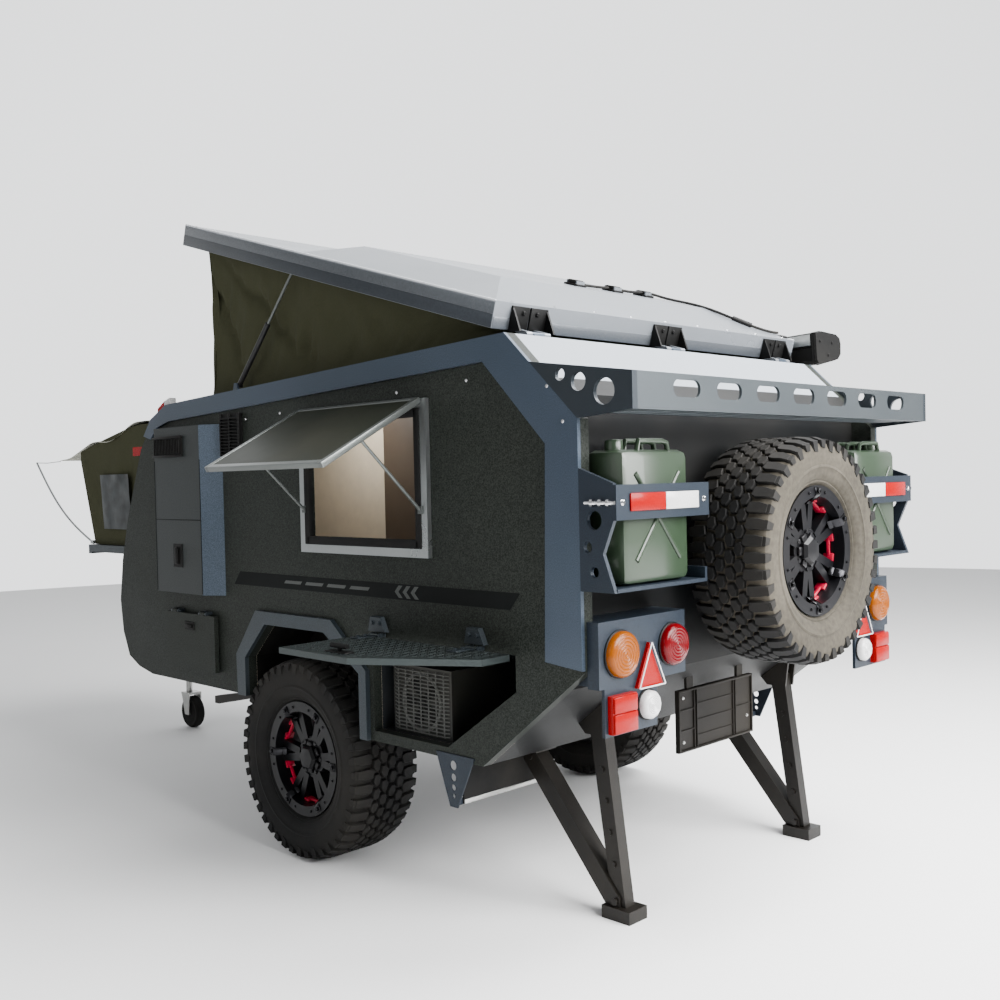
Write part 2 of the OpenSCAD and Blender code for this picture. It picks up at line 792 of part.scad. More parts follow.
// Cassette along the top of the right wall, parallel to the deck, on plates bolted to the side frame.
module awning_case() {
  x0 = top_x - 18;
  color("#33383c") translate([x0, -half - awning_gap, deck_z(x0)]) rotate([0, atan(deck_slope), 0]) {
    rotate([90, 0, 90]) linear_extrude(height = awning_len) polygon([
      [0, 24], [0, 78], [-4, 80], [-4, 84], [0, 86], [0, 148], [-69, 160], [-195, 154], [-228, 138], [-237, 112], [-232, 62], [-205, 36],
      [-40, 3], [-14, 6]
    ]);
    for (i = [0:2]) box(120 + i * (awning_len - 300) / 2, 180 + i * (awning_len - 300) / 2, 0, awning_gap, -52, 66);
  }
}

module roof_canvas() {
  t = 4;
  w = deck_half + 50;
  seat = 0.5;
  x1 = hinge_x + (roof_len - 55) * cos(roof_up);
  top = hinge_z + (x1 - hinge_x) * tan(roof_up) + 40;
  low = [[480, deck_z(480) + seat], [x1, deck_z(x1) + seat]];
  tri = concat(low, [[x1, top], [480, hinge_z + (480 - hinge_x) * tan(roof_up) + 40]]);
  in = [[480 + t, 1800], [x1 - t, 1800], [x1 - t, top + 20], [480 + t, top + 20]];
  color("#33362c") difference() {
    slab(-w, w) polygon(tri);
    slab(-w + t, w - t) polygon(in);
  }
}

module strut_place(y) {
  z0 = deck_z(strut_x) + strut_lift;
  x1 = hinge_x + strut_up_x * cos(roof_up) - 35 * sin(roof_up);
  z1 = hinge_z + strut_up_x * sin(roof_up) + 35 * cos(roof_up);
  translate([strut_x, y, z0]) rotate([0, -90 + atan2(z1 - z0, strut_x - x1), 0]) children();
}

strut_span = sqrt(pow(strut_x - hinge_x - strut_up_x * cos(roof_up) + 35 * sin(roof_up), 2)
  + pow(hinge_z + strut_up_x * sin(roof_up) + 35 * cos(roof_up) - deck_z(strut_x) - strut_lift, 2));

module strut_barrel(y) {
  strut_place(y) difference() {
    union() {
      translate([0, 0, 8]) cylinder(h = 342, r = 12);
      rotate([90, 0, 0]) translate([0, 0, -12.2]) cylinder(h = 24.4, r = 10);
    }
    translate([0, 0, 30]) cylinder(h = 400, r = 6.4);
  }
}

module strut_rod(y) {
  strut_place(y) {
    translate([0, 0, strut_span - 345]) cylinder(h = 340, r = 6);
    translate([0, 0, strut_span]) rotate([90, 0, 0]) translate([0, 0, -7]) cylinder(h = 14, r = 10);
  }
}

module strut_barrel_left() {
  color("#202020") strut_barrel(strut_y);
}

module strut_rod_left() {
  color("silver") strut_rod(strut_y);
}

module strut_barrel_right() {
  color("#202020") strut_barrel(-strut_y);
}

module strut_rod_right() {
  color("silver") strut_rod(-strut_y);
}

// Front bed and tent

module bed_platform() {
  color("#5a6266") {
    box(bed_x + 20, bed_end, -bed_half, bed_half, bed_z - 20, bed_z + 20);
    box(bed_end - 40, bed_end, -bed_half, bed_half, bed_z - 30, bed_z + 20);
    for (y = BED_HINGES) difference() {
      union() {
        bar_y(bed_x, bed_z, y - 50, y + 50, 12);
        box(bed_x, bed_x + 21, y - 50, y + 50, bed_z - 10, bed_z + 10);
      }
      bar_y(bed_x, bed_z, y - 51, y + 51, 6 + run_gap);
    }
  }
}

module tent() {
  t = 4;
  w = bed_half - 20;
  base = bed_z + 20.3;
  color("#33362c") {
    difference() {
      slab(-w, w) polygon([
        [3180, base], [bed_end - 20, base], [3949, 1711], [3949, 1777], [3647, 1841], [3146, 1912], [2916, 1872], [2900, 1770], [3075, 1392]
      ]);
      slab(-w + t, w - t) polygon([
        [3100, base - 1], [bed_end - 24, base - 1], [3945, 1709], [3945, 1774], [3646, 1837], [3146, 1908], [2800, 1860], [2800, 1500]
      ]);
    }
    slab(-w, w) polygon([[3948, 1777], [4216, 1722], [4216, 1718], [3948, 1773]]);
  }
}

module tent_rods() {
  tip_x = 4550;
  tip_z = 1719;
  foot_x = bed_end - 5;
  foot_z = bed_z + 25.6;
  run = tip_x - foot_x;
  rise = tip_z - foot_z;
  color("silver") for (s = [-1, 1]) {
    translate([foot_x, s * (bed_half - 28), foot_z]) rotate([0, atan2(run, rise), 0]) {
      cylinder(h = sqrt(run * run + rise * rise), r = 6);
    }
    bar_x(s * (bed_half - 28), tip_z, 4216.5, tip_x, 2.5);
  }
}

placed() floor_panel();
placed() rails();
placed() drawbar();
placed() coupling();
placed() wall_left();
placed() wall_right();
placed() rear_shell();
placed() nose_shell();
placed() deck();
placed() side_frames();
placed() arch_trims();
placed() wheel_wells();
placed() locker_liners();
placed() condenser();
placed() lid_hinges();
placed() window_frame();
placed() window_sash();
placed() window_stays();
placed() service_pod();
placed() vents();
placed() front_locker();
placed() rear_rack();
placed() can_holders();
placed() jerry_cans();
placed() can_bars();
placed() light_boxes();
placed() amber_lamps();
placed() red_lamps();
placed() white_lamps();
placed() plate_holder();
placed() stabiliser_legs();
placed() mud_flaps();
placed() flap_gussets();
placed() trailing_arms();
placed() spare_carrier();
placed() spare_tyre();
placed() spare_rim();
placed() cabinet();
placed() roof_canvas();
placed() tent();
placed() tent_rods();
placed() jockey_post();
placed() tyre_left();
placed() rim_left();
placed() tyre_right();
placed() rim_right();
placed() roof_lid();
placed() awning_case();
placed() strut_barrel_left();
placed() strut_rod_left();
placed() strut_barrel_right();
placed() strut_rod_right();
placed() hatch_left();
placed() hatch_right();
placed() entry_door();
placed() locker_door();
placed() bed_platform();
placed() jockey_fork();
placed() jockey_wheel();
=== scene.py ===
import math

import bmesh
import bpy
from mathutils import Matrix, Vector, noise


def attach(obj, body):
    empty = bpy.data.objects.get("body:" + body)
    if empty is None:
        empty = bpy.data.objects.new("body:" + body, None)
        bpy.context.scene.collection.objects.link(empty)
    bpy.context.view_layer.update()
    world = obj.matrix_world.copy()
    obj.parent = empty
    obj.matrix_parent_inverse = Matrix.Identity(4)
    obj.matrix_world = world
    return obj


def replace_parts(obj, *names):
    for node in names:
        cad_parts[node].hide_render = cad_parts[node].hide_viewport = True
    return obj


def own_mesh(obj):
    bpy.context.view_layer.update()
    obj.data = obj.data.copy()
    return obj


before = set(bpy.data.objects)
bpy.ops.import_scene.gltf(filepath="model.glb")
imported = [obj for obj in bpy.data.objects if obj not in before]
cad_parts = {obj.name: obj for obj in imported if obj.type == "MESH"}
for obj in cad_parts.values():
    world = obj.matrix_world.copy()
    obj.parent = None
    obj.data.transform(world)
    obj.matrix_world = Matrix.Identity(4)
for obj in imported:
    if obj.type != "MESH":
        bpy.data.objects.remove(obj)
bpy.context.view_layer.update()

# Camera at the photograph's viewing angle.
# Places are in millimetres from the body's rear face at ground level, x forward, y left, z up.
HITCH = (4760.0, 529.0)
LENS = 40.4
CAMERA = (-2334.0, 3671.0, 1565.0)
YAW, PITCH, ROLL = (math.radians(a) for a in (-44.845, -1.142, -1.293))


def at(x, y, z):
    """The same place in metres in the shared frame, whose origin is the coupling."""
    return Vector(((x - HITCH[0]) / 1000, y / 1000, (z - HITCH[1]) / 1000))


look = Vector((math.cos(YAW) * math.cos(PITCH), math.sin(YAW) * math.cos(PITCH), math.sin(PITCH)))
level = Vector((math.sin(YAW), -math.cos(YAW), 0))
rise = level.cross(look)
right = level * math.cos(ROLL) + rise * math.sin(ROLL)
upward = rise * math.cos(ROLL) - level * math.sin(ROLL)
camera = bpy.data.objects.new("camera", bpy.data.cameras.new("camera"))
camera.data.lens = LENS
camera.data.sensor_width = 36
camera.matrix_world = Matrix.Translation(at(*CAMERA)) @ Matrix((right, upward, -look)).transposed().to_4x4()
bpy.context.collection.objects.link(camera)
bpy.context.scene.camera = camera

# Frame rails, floor, drawbar and pin coupling: folded and welded steel in satin black, dusty from the road.
# The rails carry the floor; the drawbar's tubes run from them to the coupling, which is bolted on.
BLACK = (0.010, 0.010, 0.011)
DUST = (0.16, 0.14, 0.11)


def surface_group():
    """Paint, plastic or cloth grain: colour flecks, dust, uneven gloss and a fine bump."""
    group = bpy.data.node_groups.get("surface")
    if group:
        return group
    group = bpy.data.node_groups.new("surface", "ShaderNodeTree")
    face = group.interface
    face.new_socket("Colour", in_out="INPUT", socket_type="NodeSocketColor")
    for name in ("Fleck", "Scale", "Grain", "Rough", "Dust"):
        face.new_socket(name, in_out="INPUT", socket_type="NodeSocketFloat")
    face.new_socket("Colour", in_out="OUTPUT", socket_type="NodeSocketColor")
    face.new_socket("Rough", in_out="OUTPUT", socket_type="NodeSocketFloat")
    face.new_socket("Normal", in_out="OUTPUT", socket_type="NodeSocketVector")
    new, link = group.nodes.new, group.links.new
    inp, out = new("NodeGroupInput"), new("NodeGroupOutput")
    place = new("ShaderNodeTexCoord")
    fine, broad = new("ShaderNodeTexNoise"), new("ShaderNodeTexNoise")
    fine.inputs["Detail"].default_value = 2
    broad.inputs["Scale"].default_value = 2.6
    broad.inputs["Detail"].default_value = 6
    link(place.outputs["Object"], fine.inputs["Vector"])
    link(place.outputs["Object"], broad.inputs["Vector"])
    link(inp.outputs["Scale"], fine.inputs["Scale"])

    def maths(kind, a, b):
        node = new("ShaderNodeMath")
        node.operation = kind
        for value, socket in ((a, node.inputs[0]), (b, node.inputs[1])):
            if isinstance(value, (int, float)):
                socket.default_value = value
            else:
                link(value, socket)
        return node.outputs[0]

    spread = maths("MULTIPLY", maths("SUBTRACT", fine.outputs["Fac"], 0.5), inp.outputs["Fleck"])
    tint = new("ShaderNodeVectorMath")
    tint.operation = "SCALE"
    link(inp.outputs["Colour"], tint.inputs[0])
    link(maths("ADD", spread, 1.0), tint.inputs["Scale"])
    dirt = new("ShaderNodeMix")
    dirt.data_type = "RGBA"
    dirt.inputs["B"].default_value = (*DUST, 1)
    link(tint.outputs[0], dirt.inputs["A"])
    patch = new("ShaderNodeMapRange")
    patch.inputs["From Min"].default_value = 0.42
    patch.inputs["From Max"].default_value = 0.75
    link(broad.outputs["Fac"], patch.inputs["Value"])
    link(maths("MULTIPLY", patch.outputs["Result"], inp.outputs["Dust"]), dirt.inputs["Factor"])
    link(dirt.outputs["Result"], out.inputs["Colour"])
    uneven = maths("MULTIPLY", maths("SUBTRACT", broad.outputs["Fac"], 0.5), 0.22)
    link(maths("ADD", inp.outputs["Rough"], uneven), out.inputs["Rough"])
    bump = new("ShaderNodeBump")
    bump.inputs["Distance"].default_value = 0.001
    link(inp.outputs["Grain"], bump.inputs["Strength"])
    link(fine.outputs["Fac"], bump.inputs["Height"])
    link(bump.outputs["Normal"], out.inputs["Normal"])
    return group


def finish(name, colour, rough, metal=0.0, fleck=0.3, scale=300.0, grain=0.15, dust=0.1, coat=0.0,
           shine=0.5):
    """A material on the shared surface group."""
    material = bpy.data.materials.new(name)
    material.use_nodes = True
    nodes, link = material.node_tree.nodes, material.node_tree.links.new
    shader = nodes["Principled BSDF"]
    shader.inputs["Metallic"].default_value = metal
    shader.inputs["Coat Weight"].default_value = coat
    shader.inputs["Specular IOR Level"].default_value = shine
    group = nodes.new("ShaderNodeGroup")
    group.node_tree = surface_group()
    group.inputs["Colour"].default_value = (*colour, 1)
    for key, value in (("Fleck", fleck), ("Scale", scale), ("Grain", grain), ("Rough", rough),
                       ("Dust", dust)):
        group.inputs[key].default_value = value
    link(group.outputs["Colour"], shader.inputs["Base Color"])
    link(group.outputs["Rough"], shader.inputs["Roughness"])
    link(group.outputs["Normal"], shader.inputs["Normal"])
    return material


def part_tone(material, axis, edge, colour, inside=True):
    """Another colour where the distance from the origin along an axis is below the edge, or above it."""
    nodes, link = material.node_tree.nodes, material.node_tree.links.new
    place, split = nodes.new("ShaderNodeTexCoord"), nodes.new("ShaderNodeSeparateXYZ")
    size, test = nodes.new("ShaderNodeMath"), nodes.new("ShaderNodeMath")
    mix = nodes.new("ShaderNodeMix")
    size.operation = "ABSOLUTE"
    test.operation = "LESS_THAN" if inside else "GREATER_THAN"
    test.inputs[1].default_value = edge
    mix.data_type = "RGBA"
    group = next(n for n in nodes if n.type == "GROUP")
    feed = group.inputs["Colour"]
    mix.inputs["A"].default_value = feed.default_value
    if feed.is_linked:
        link(feed.links[0].from_socket, mix.inputs["A"])
    mix.inputs["B"].default_value = (*colour, 1)
    link(place.outputs["Object"], split.inputs[0])
    link(split.outputs[axis], size.inputs[0])
    link(size.outputs[0], test.inputs[0])
    link(test.outputs[0], mix.inputs["Factor"])
    link(mix.outputs["Result"], feed)
    return material


def dress(node, material, bevel=0.0):
    """A CAD node keeps its shape and takes a material and softened edges."""
    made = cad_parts[node]
    made.data.materials.clear()
    made.data.materials.append(material)
    if bevel:
        edge = made.modifiers.new("edges", "BEVEL")
        edge.width = bevel
        edge.segments = 2
        edge.limit_method = "ANGLE"
        edge.angle_limit = math.radians(40)
        edge.harden_normals = True
    return made


def piece(name, bm, material, body="trailer", smooth=35):
    """A bmesh drawn in millimetres becomes an object in the shared frame that rides on a body."""
    for v in bm.verts:
        v.co = at(*v.co)
    bmesh.ops.recalc_face_normals(bm, faces=bm.faces)
    mesh = bpy.data.meshes.new(name)
    bm.to_mesh(mesh)
    bm.free()
    mesh.materials.append(material)
    made = bpy.data.objects.new(name, mesh)
    bpy.context.collection.objects.link(made)
    bpy.ops.object.select_all(action="DESELECT")
    made.select_set(True)
    bpy.context.view_layer.objects.active = made
    bpy.ops.object.shade_smooth_by_angle(angle=math.radians(smooth))
    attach(made, body)
    return made


def axes(centre, u, v, w):
    """A local frame: its origin and the directions of its own x, y and z."""
    turn = Matrix((Vector(u), Vector(v), Vector(w))).transposed().to_4x4()
    return Matrix.Translation(Vector(centre)) @ turn


FLAT = Matrix.Identity(4)


def meshes(count):
    """So many empty meshes to draw in."""
    return [bmesh.new() for _ in range(count)]


def block(bm, low, high, bevel=2.0, local=FLAT):
    """A box with rounded edges."""
    low, high = Vector(low), Vector(high)
    size = high - low
    shape = Matrix.Translation((low + high) / 2) @ Matrix.Diagonal((*size, 1))
    verts = bmesh.ops.create_cube(bm, size=1, matrix=local @ shape)["verts"]
    edges = list({e for v in verts for e in v.link_edges})
    bmesh.ops.bevel(
        bm, geom=edges, offset=min(bevel, min(size) * 0.45), segments=2, profile=0.5, affect="EDGES"
    )


def turned(bm, profile, local, count=48):
    """A profile of (radius, height) pairs turned about the local z axis."""
    rings = []
    for r, h in profile:
        ring = []
        for i in range(count):
            a = 2 * math.pi * i / count
            ring.append(bm.verts.new(local @ Vector((r * math.cos(a), r * math.sin(a), h))))
        rings.append(ring)
    for a, b in zip(rings, rings[1:]):
        for i in range(count):
            j = (i + 1) % count
            bm.faces.new((a[i], a[j], b[j], b[i]))
    return rings


def solid(bm, profile, local, count=48):
    """The same with its two ends closed."""
    rings = turned(bm, profile, local, count)
    bm.faces.new(rings[0][::-1])
    bm.faces.new(rings[-1])


def prism(bm, outline, low, high, local=FLAT, inset=0.0):
    """An outline in the local x and y, made solid from low to high, with its upper edge drawn in."""
    mid = Vector((sum(p[0] for p in outline), sum(p[1] for p in outline))) / len(outline)
    base, top = [], []
    for p in outline:
        q = Vector(p)
        pull = (mid - q).normalized() * inset
        base.append(bm.verts.new(local @ Vector((q.x, q.y, low))))
        top.append(bm.verts.new(local @ Vector((q.x + pull.x, q.y + pull.y, high))))
    bm.faces.new(base[::-1])
    bm.faces.new(top)
    for i in range(len(outline)):
        j = (i + 1) % len(outline)
        bm.faces.new((base[i], base[j], top[j], top[i]))


def tube(bm, points, radius, count=10):
    """A round bar along a line of points."""
    points = [Vector(p) for p in points]
    rings = []
    side = None
    for i, p in enumerate(points):
        ahead = (points[min(i + 1, len(points) - 1)] - points[max(i - 1, 0)]).normalized()
        if side is None:
            side = ahead.orthogonal().normalized()
        side = (side - ahead * side.dot(ahead)).normalized()
        other = ahead.cross(side)
        ring = []
        for k in range(count):
            a = 2 * math.pi * k / count
            ring.append(bm.verts.new(p + (side * math.cos(a) + other * math.sin(a)) * radius))
        rings.append(ring)
    for a, b in zip(rings, rings[1:]):
        for i in range(count):
            j = (i + 1) % count
            bm.faces.new((a[i], a[j], b[j], b[i]))
    bm.faces.new(rings[0][::-1])
    bm.faces.new(rings[-1])


def bolt(bm, place, out, size):
    """A hexagon head on a washer."""
    out = Vector(out).normalized()
    side = out.orthogonal().normalized()
    local = axes(place, side, out.cross(side), out)
    solid(bm, [(size * 1.25, 0), (size * 1.25, size * 0.2), (size, size * 0.25)], local, 16)
    solid(bm, [(size * 0.98, size * 0.2), (size * 0.98, size * 0.75), (size * 0.8, size * 0.9)], local, 6)


black_steel = finish("black_steel", BLACK, 0.42, fleck=0.4, scale=180, grain=0.3, dust=0.2, shine=0.3)
zinc = finish("zinc", (0.42, 0.42, 0.41), 0.42, metal=0.9, fleck=0.3, scale=40, grain=0.1, dust=0.12)
for node in ("rails", "drawbar", "coupling", "trailing_arms", "spare_carrier"):
    dress(node, black_steel, 0.003)
dress("floor_panel", finish("underseal", (0.03, 0.03, 0.03), 0.8, scale=90, grain=0.6, dust=0.3), 0.002)
fixings = bmesh.new()
for s in (-1, 1):
    for z in (552, 606):
        bolt(fixings, (4670, s * 95, z), (1, 0, 0), 9)
    for x in (4210, 4298):
        bolt(fixings, (x, s * 165, 641), (0, 0, 1), 8)
piece("chassis_bolts", fixings, zinc)

# Jockey wheel at the drawbar: a galvanised post with a crank, a swivel fork and a rubber roller.
# A black clamp with a toggle holds the post at its height.
POST = Matrix.Translation((4254, 0, 0))
CRANK = Matrix.Translation((4359, 0, 0))
rubber = finish("rubber", (0.008, 0.008, 0.008), 0.8, fleck=0.5, scale=60, grain=0.3, dust=0.12, shine=0.15)
for node in ("jockey_post", "jockey_fork"):
    dress(node, zinc, 0.0015)
dress("jockey_wheel", rubber, 0.002)
clamp, grip = meshes(2)
turned(clamp, [(26.5, 642), (36, 642), (38, 646), (38, 682), (36, 686), (26.5, 686)], POST, 32)
block(clamp, (4290, -14, 648), (4322, 14, 680), 3)
tube(clamp, [(4312, -22, 664), (4312, 40, 664), (4312, 52, 670), (4312, 58, 690)], 5)
piece("jockey_clamp", clamp, black_steel)
solid(grip, [(12.5, 797), (15, 800), (14, 812), (16, 832), (14, 858), (15, 868), (11, 873)], CRANK, 24)
piece("jockey_grip", grip, rubber)

# Road wheels and the spare: mud tyres with narrow interlocking lugs on gloss black alloy rims.
# Each rim has split spokes, dark plated claws bolted over its lip, red pads inside and a faceted cap.
TYRE = 415.0
AXLE = 1555.0
LUGS = 44
SPOKES = 6
# radius and distance from the tyre's middle plane, from the bead to the tread
CARCASS = [(216, 116), (239, 117), (246, 126), (250, 132), (256, 131), (262, 140), (285, 149), (300, 153),
           (303, 156),
           (309, 156), (312, 154), (340, 156), (368, 154), (386, 148), (396, 134), (399, 112), (400, 60)]
# lug outlines: along the tread, and away from its middle
SHOULDER = [(-20, 84), (12, 76), (21, 92), (20, 128), (17, 153), (-15, 154), (-21, 124)]
MIDDLE = [(-21, 46), (6, 39), (24, 50), (21, 70), (-6, 78), (-25, 66)]
CENTRE = [(-23, 6), (2, 2), (23, 14), (22, 34), (-4, 40), (-26, 28)]
# radius and height of the claws' line, from the lip into the wheel
CLAW = [(229, 129), (204, 131), (193, 124), (180, 101), (170, 88)]
tyre_rubber = finish(
    "tyre_rubber", (0.006, 0.006, 0.006), 0.75, fleck=0.6, scale=70, grain=0.35, dust=0.1, shine=0.18
)
dusty_wall = finish(
    "dusty_wall", (0.044, 0.039, 0.030), 0.85, fleck=1.1, scale=55, grain=0.4, dust=0.3, shine=0.15
)
rim_black = finish("rim_black", (0.004, 0.004, 0.005), 0.32, fleck=0.2, scale=200, grain=0.05, dust=0.02,
                   coat=0.06, shine=0.22)
chrome = finish("chrome", (0.75, 0.75, 0.76), 0.14, metal=1.0, fleck=0.05, scale=60, grain=0.03, dust=0.03)
dark_plate = finish(
    "dark_plate", (0.022, 0.022, 0.024), 0.24, metal=1.0, fleck=0.1, scale=60, grain=0.05, dust=0.02
)
red_pad = finish("red_pad", (0.40, 0.004, 0.03), 0.3, fleck=0.2, scale=200, grain=0.1, dust=0.05, coat=0.4)


def lug(bm, local, outline, turn, side, deep):
    """One rubber block on the tread, drawn in a little towards its top."""
    mid = Vector((sum(p[0] for p in outline), sum(p[1] for p in outline))) / len(outline)
    rings = []
    for shrink, drop in ((-1.5, deep), (0.5, 3.0), (3.0, 0.0)):
        ring = []
        for p in outline:
            q = Vector(p) + (mid - Vector(p)).normalized() * shrink
            a = turn + q.x / TYRE
            r = TYRE - 17 * max(0.0, (q.y - 95) / 60) ** 2 - drop
            ring.append(bm.verts.new(local @ Vector((r * math.cos(a), r * math.sin(a), side * q.y))))
        rings.append(ring)
    for a, b in zip(rings, rings[1:]):
        for i in range(len(a)):
            j = (i + 1) % len(a)
            bm.faces.new((a[i], a[j], b[j], b[i]))
    bm.faces.new(rings[-1])


def tread(bm, local):
    """Staggered rows of lugs, with side biters that carry the outer ones down the wall."""
    pitch = 2 * math.pi / LUGS
    for i in range(LUGS):
        for side, shift in ((1, 0.0), (-1, 0.5)):
            turn = (i + shift) * pitch
            lug(bm, local, SHOULDER if i % 2 else [(t, a - 6) for t, a in SHOULDER], turn, side, 24)
            lug(bm, local, MIDDLE, turn + 0.5 * pitch, side, 18)
            lug(bm, local, CENTRE, turn, side, 18)
            c, s = math.cos(turn), math.sin(turn)
            wall = local @ axes((0, 0, side * 148), (c, s, 0), (-s, c, 0), (0, 0, side))
            foot = 356 if i % 2 else 368
            prism(bm, [(foot, -14), (foot + 5, 12), (401, 18), (401, -16)], 0, 9.5, wall, 2.5)


def wheel_trim(local, body, name):
    """Claws, pads and cap on one rim."""
    claws, pads, cap = meshes(3)
    out = local.to_3x3() @ Vector((0, 0, 1))
    for i in range(SPOKES):
        arm = local @ Matrix.Rotation(2 * math.pi * i / SPOKES, 4, "Z")
        gap = arm @ Matrix.Rotation(math.pi / SPOKES, 4, "Z")
        for (r0, h0), (r1, h1) in zip(CLAW, CLAW[1:]):
            along = Vector((r1 - r0, 0, h1 - h0))
            reach = along.length
            along.normalize()
            seat = arm @ axes((r0, 0, h0), along, (0, 1, 0), along.cross(Vector((0, 1, 0))))
            block(claws, (-1, -17, -3), (reach + 1, 17, 3), 2, seat)
        bolt(claws, arm @ Vector((216, 0, 133)), out, 9)
        for s in (-1, 1):
            bolt(claws, arm @ Matrix.Rotation(s * 0.26, 4, "Z") @ Vector((216, 0, 129)), out, 5)
        for turn in (-0.2, 0.2):
            block(pads, (186, -16, 44), (196, 16, 86), 4, gap @ Matrix.Rotation(turn, 4, "Z"))
        block(pads, (182, -34, 58), (192, 34, 72), 3, gap)
        block(cap, (30, -16, 78), (66, 16, 92), 4, gap)
        bolt(cap, arm @ Vector((68, 0, 80)), out, 10)
    solid(cap, [(54, 80), (54, 98), (44, 110), (20, 114)], local, 6)
    piece(name + "_claws", claws, dark_plate, body)
    piece(name + "_pads", pads, red_pad, body)
    piece(name + "_cap", cap, rim_black, body)


# tyre, rim, body, centre, and the wheel's own x, y and outward directions
WHEELS = [
    ("tyre_left", "rim_left", "wheel_left", (AXLE, 870, TYRE), (1, 0, 0), (0, 0, -1), (0, 1, 0)),
    ("tyre_right", "rim_right", "wheel_right", (AXLE, -870, TYRE), (1, 0, 0), (0, 0, 1), (0, -1, 0)),
    ("spare_tyre", "spare_rim", "trailer", (-140, 0, 1275), (0, 0, 1), (0, 1, 0), (-1, 0, 0)),
]
for tyre_node, rim_node, body, *place in WHEELS:
    local = axes(*place)
    wall, lugs = meshes(2)
    turned(wall, CARCASS + [(r, -a) for r, a in CARCASS[::-1]], local, 96)
    tread(lugs, local)
    # The spare's walls take the dusty wall; the road tyres' walls take the plain dark rubber as painted
    # shade, since they stand in shadow.
    piece(tyre_node + "_wall", wall, dusty_wall if body == "trailer" else tyre_rubber, body)
    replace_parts(piece(tyre_node + "_tread", lugs, tyre_rubber, body, 30), tyre_node)
    dress(rim_node, rim_black, 0.003)
    wheel_trim(local, body, rim_node)

# Mud flaps: rubber sheets behind the wheels with a bright strip along the foot,
# held by pierced steel gussets on the sill.
def flake_paint(name, colour, rough, metal, fleck=2.0, dust=0.02, coat=0.0, shine=0.5):
    """Metallic paint with coarse flakes."""
    return finish(name, colour, rough, metal, fleck, 330, 0.3, dust, coat, shine)


def side_block(bm, s, low, high, bevel, local=FLAT):
    """A rounded box on the left side, or its mirror image on the right."""
    near, far = sorted((s * low[1], s * high[1]))
    block(bm, (low[0], near, low[2]), (high[0], far, high[2]), bevel, local)


dress("mud_flaps", rubber, 0.002)
navy_paint = flake_paint("navy_paint", (0.013, 0.019, 0.028), 0.4, 0.3, shine=0.3)
dress("flap_gussets", navy_paint, 0.001)
strips = bmesh.new()
for s in (-1, 1):
    side_block(strips, s, (622, 561, 392), (636, 942, 408), 2)
piece("flap_strips", strips, zinc)

# Body shell: composite walls in dark grained paint between blue-grey metallic side frames, held by screws.
# A darker band with slanted bars and chevrons runs along the left wall; the walls are lined in beige inside.
LINING = (0.62, 0.55, 0.44)
WALL_GREY = (0.016, 0.019, 0.016)
# x and z of the wall's top at its front, and its rise towards the rear
WALL_TOP, WALL_RISE = (2590, 1870), 0.0425


def on_wall(x, y, z):
    """A local frame on the left wall: forward, up and outward."""
    return axes((x, y, z), (1, 0, 0), (0, 0, 1), (0, 1, 0))


frame_paint = flake_paint("frame_paint", (0.038, 0.055, 0.080), 0.38, 0.5, coat=0.15)
body_paint, lined_wall = (
    finish(name, WALL_GREY, 0.46, metal=0.1, fleck=3.6, scale=240, grain=0.3, dust=0.02, shine=0.12)
    for name in ("body_paint", "lined_wall")
)
# Near-black paint for the lower rear shell: painted shade under the rack.
rear_shade_paint = finish(
    "rear_shade_paint", (0.003, 0.0035, 0.004), 0.5, shine=0.14, fleck=0.8, scale=900, grain=0.3, dust=0.04
)
trim_paint = flake_paint("trim_paint", (0.024, 0.033, 0.040), 0.4, 0.4, dust=0.05)
stripe_dark = finish("stripe_dark", (0.005, 0.006, 0.006), 0.6, fleck=0.5, grain=0.1, dust=0.01, shine=0.08)
stripe_pale = finish("stripe_pale", (0.07, 0.075, 0.072), 0.6, fleck=0.4, grain=0.1, dust=0.02, shine=0.1)
liner = finish("liner", (0.012, 0.014, 0.016), 0.5, fleck=0.3, scale=200, grain=0.15, shine=0.25)
part_tone(lined_wall, "Y", 0.9455, LINING)
part_tone(lined_wall, "X", -at(360, 0, 0).x, WALL_GREY, inside=False)
for node in ("wall_left", "wall_right"):
    dress(node, lined_wall, 0.003)
dress("nose_shell", body_paint, 0.003)
# The rear shell is near-black below 1890 mm as painted shade under the rack, and light grey above it as a
# painted highlight on the sloped panel facing the light.
dress("rear_shell", part_tone(rear_shade_paint, "Z", at(0, 0, 1890).z, (0.25, 0.272, 0.30), inside=False), 0.002)
for node in ("side_frames", "deck"):
    dress(node, frame_paint, 0.003)
pod_paint = flake_paint("pod_paint", (0.016, 0.020, 0.020), 0.4, 0.2, fleck=2.5, shine=0.3)
dress(
    "service_pod", part_tone(pod_paint, "X", -at(2236, 0, 0).x, (0.045, 0.062, 0.085), inside=False), 0.003
)
for node in ("arch_trims", "lid_hinges"):
    dress(node, trim_paint, 0.002)
well_liner = finish("well_liner", (0.005, 0.005, 0.005), 0.85, scale=80, grain=0.5, dust=0.08, shine=0.1)
dress("wheel_wells", well_liner, 0.002)
dress("locker_liners", liner, 0.002)
dress("front_locker", liner, 0.002)
WALL = on_wall(0, 985, 0)
band, bars = meshes(2)
prism(band, [(330, 1117), (2060, 1117), (2010, 1176), (280, 1176)], 0, 0.8, WALL)
for i in range(3):
    x = 800 + i * 46
    chevron = [(x, 1123), (x + 22, 1123), (x + 46, 1146), (x + 22, 1170), (x, 1170), (x + 24, 1146)]
    prism(bars, chevron, 0.8, 1.4, WALL)
for i in range(4):
    x = 1100 + i * 150
    prism(bars, [(x, 1140), (x + 118, 1140), (x + 106, 1153), (x - 12, 1153)], 0.8, 1.4, WALL)
piece("side_band", band, stripe_dark)
screws = bmesh.new()
